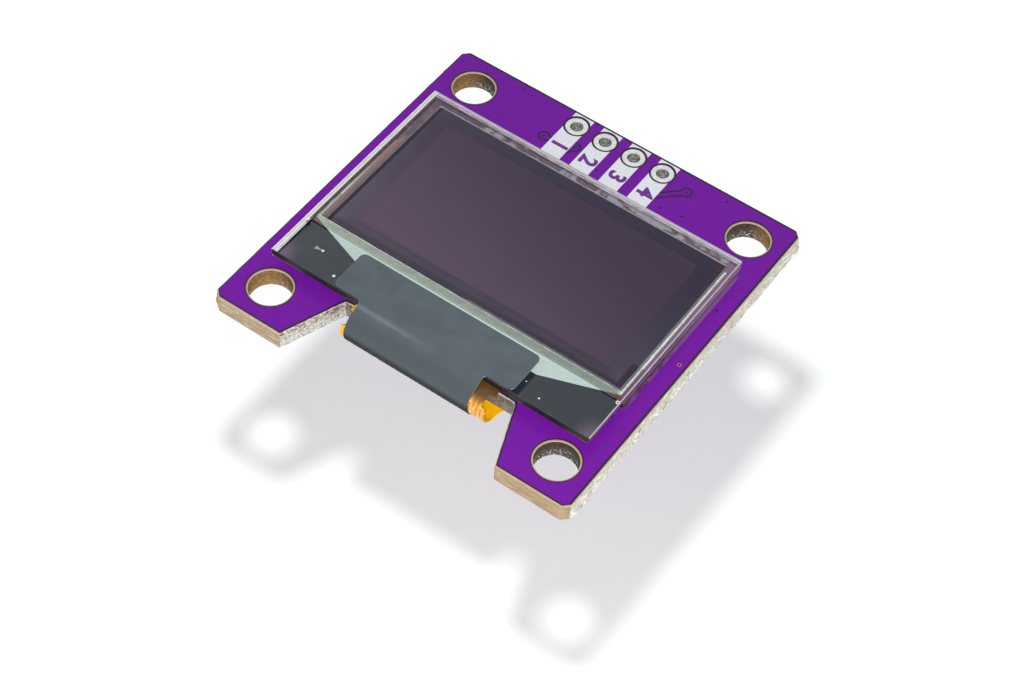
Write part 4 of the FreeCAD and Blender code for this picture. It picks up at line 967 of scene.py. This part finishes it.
def make_floor():
    """The white floor below the board: it takes the shadow, glows far out and is clear from below."""
    half = FLOOR_HALF * MM
    mesh = bpy.data.meshes.new("floor")
    corners = [(-half, -half, 0), (half, -half, 0), (half, half, 0), (-half, half, 0)]
    mesh.from_pydata(corners, [], [(0, 1, 2, 3)])
    floor = bpy.data.objects.new("floor", mesh)
    floor.location = (0, 0, -FLOOR_DROP * MM)
    bpy.context.scene.collection.objects.link(floor)
    s = Shader("floor")
    x, y, _ = s.place()
    away = (x * x + y * y).math("SQRT")
    glow = s.add("Emission", Color=(1, 1, 1), Strength=away.ramp(GLOW_START, GLOW_FULL))
    matt = s.add("BsdfDiffuse", Color=FLOOR_COLOUR)
    both = s.tree.nodes.new("ShaderNodeAddShader")
    s.feed(both.inputs[0], glow)
    s.feed(both.inputs[1], matt)
    below = s.add("NewGeometry", output="Backfacing")
    clear = s.add("BsdfTransparent", Color=(1, 1, 1))
    mesh.materials.append(s.finish(s.shade(below, both.outputs[0], clear)))
    return floor


def make_world():
    """Even fill light, and a plain white backdrop for the rays that see it."""
    world = bpy.data.worlds.new("studio")
    bpy.context.scene.world = world
    world.use_nodes = True
    tree = world.node_tree
    tree.nodes.clear()
    output = tree.nodes.new("ShaderNodeOutputWorld")
    mix = tree.nodes.new("ShaderNodeMixShader")
    fill = tree.nodes.new("ShaderNodeBackground")
    fill.inputs["Strength"].default_value = FILL_LEVEL
    backdrop = tree.nodes.new("ShaderNodeBackground")
    for node in (fill, backdrop):
        node.inputs["Color"].default_value = (1, 1, 1, 1)
    tree.links.new(backdrop_rays(tree), mix.inputs[0])
    tree.links.new(fill.outputs[0], mix.inputs[1])
    tree.links.new(backdrop.outputs[0], mix.inputs[2])
    tree.links.new(mix.outputs[0], output.inputs["Surface"])


def make_lamp(name, place, radius, level):
    """A round lamp that lights the board's top to that level: at 1, a colour shows as written."""
    way = (place - TARGET) * MM
    data = bpy.data.lights.new(name, "POINT")
    data.shadow_soft_size = radius * MM
    data.energy = level * 4 * math.pi ** 2 * way.length_squared * way.length / way.z
    lamp = bpy.data.objects.new(name, data)
    lamp.location = place * MM
    bpy.context.scene.collection.objects.link(lamp)
    return lamp


def make_camera():
    """The photograph's camera, fitted to the board's corners, holes and pads."""
    data = bpy.data.cameras.new("camera")
    data.sensor_width = SENSOR_MM
    data.lens = CAMERA_LENS_MM
    data.clip_start = 0.01
    camera = bpy.data.objects.new("camera", data)
    bpy.context.scene.collection.objects.link(camera)
    turn = CAMERA_WAY.to_track_quat("-Z", "Y") @ Quaternion((0, 0, 1), CAMERA_ROLL)
    camera.matrix_world = Matrix.Translation(CAMERA_PLACE * MM) @ turn.to_matrix().to_4x4()
    bpy.context.scene.camera = camera


# The shadow lamp lights the floor alone. The front lamp lights the module, and its twin lights the floor
# without a shadow, so that only one shadow lies there.
FLOOR = make_floor()
FLOOR_ONLY = bpy.data.collections.new("floor_only")
FLOOR_ONLY.objects.link(FLOOR)
ALL_BUT_FLOOR = bpy.data.collections.new("all_but_floor")
ALL_BUT_FLOOR.objects.link(FLOOR)
ALL_BUT_FLOOR.collection_objects[0].light_linking.link_state = "EXCLUDE"
make_world()
FRONT_PLACE = TARGET + (CAMERA_PLACE - TARGET) * FRONT_DISTANCE
SHADOW_LAMP = make_lamp("shadow", SHADOW_PLACE, SHADOW_RADIUS, SHADOW_LEVEL)
SHADOW_LAMP.light_linking.receiver_collection = FLOOR_ONLY
FRONT_LAMP = make_lamp("front", FRONT_PLACE, FRONT_RADIUS, FRONT_LEVEL)
FRONT_LAMP.light_linking.receiver_collection = ALL_BUT_FLOOR
FLOOR_LAMP = make_lamp("floor_front", FRONT_PLACE, FRONT_RADIUS, FRONT_LEVEL)
FLOOR_LAMP.light_linking.receiver_collection = FLOOR_ONLY
FLOOR_LAMP.light_linking.blocker_collection = FLOOR_ONLY
make_camera()
bpy.context.scene.view_settings.view_transform = "Standard"
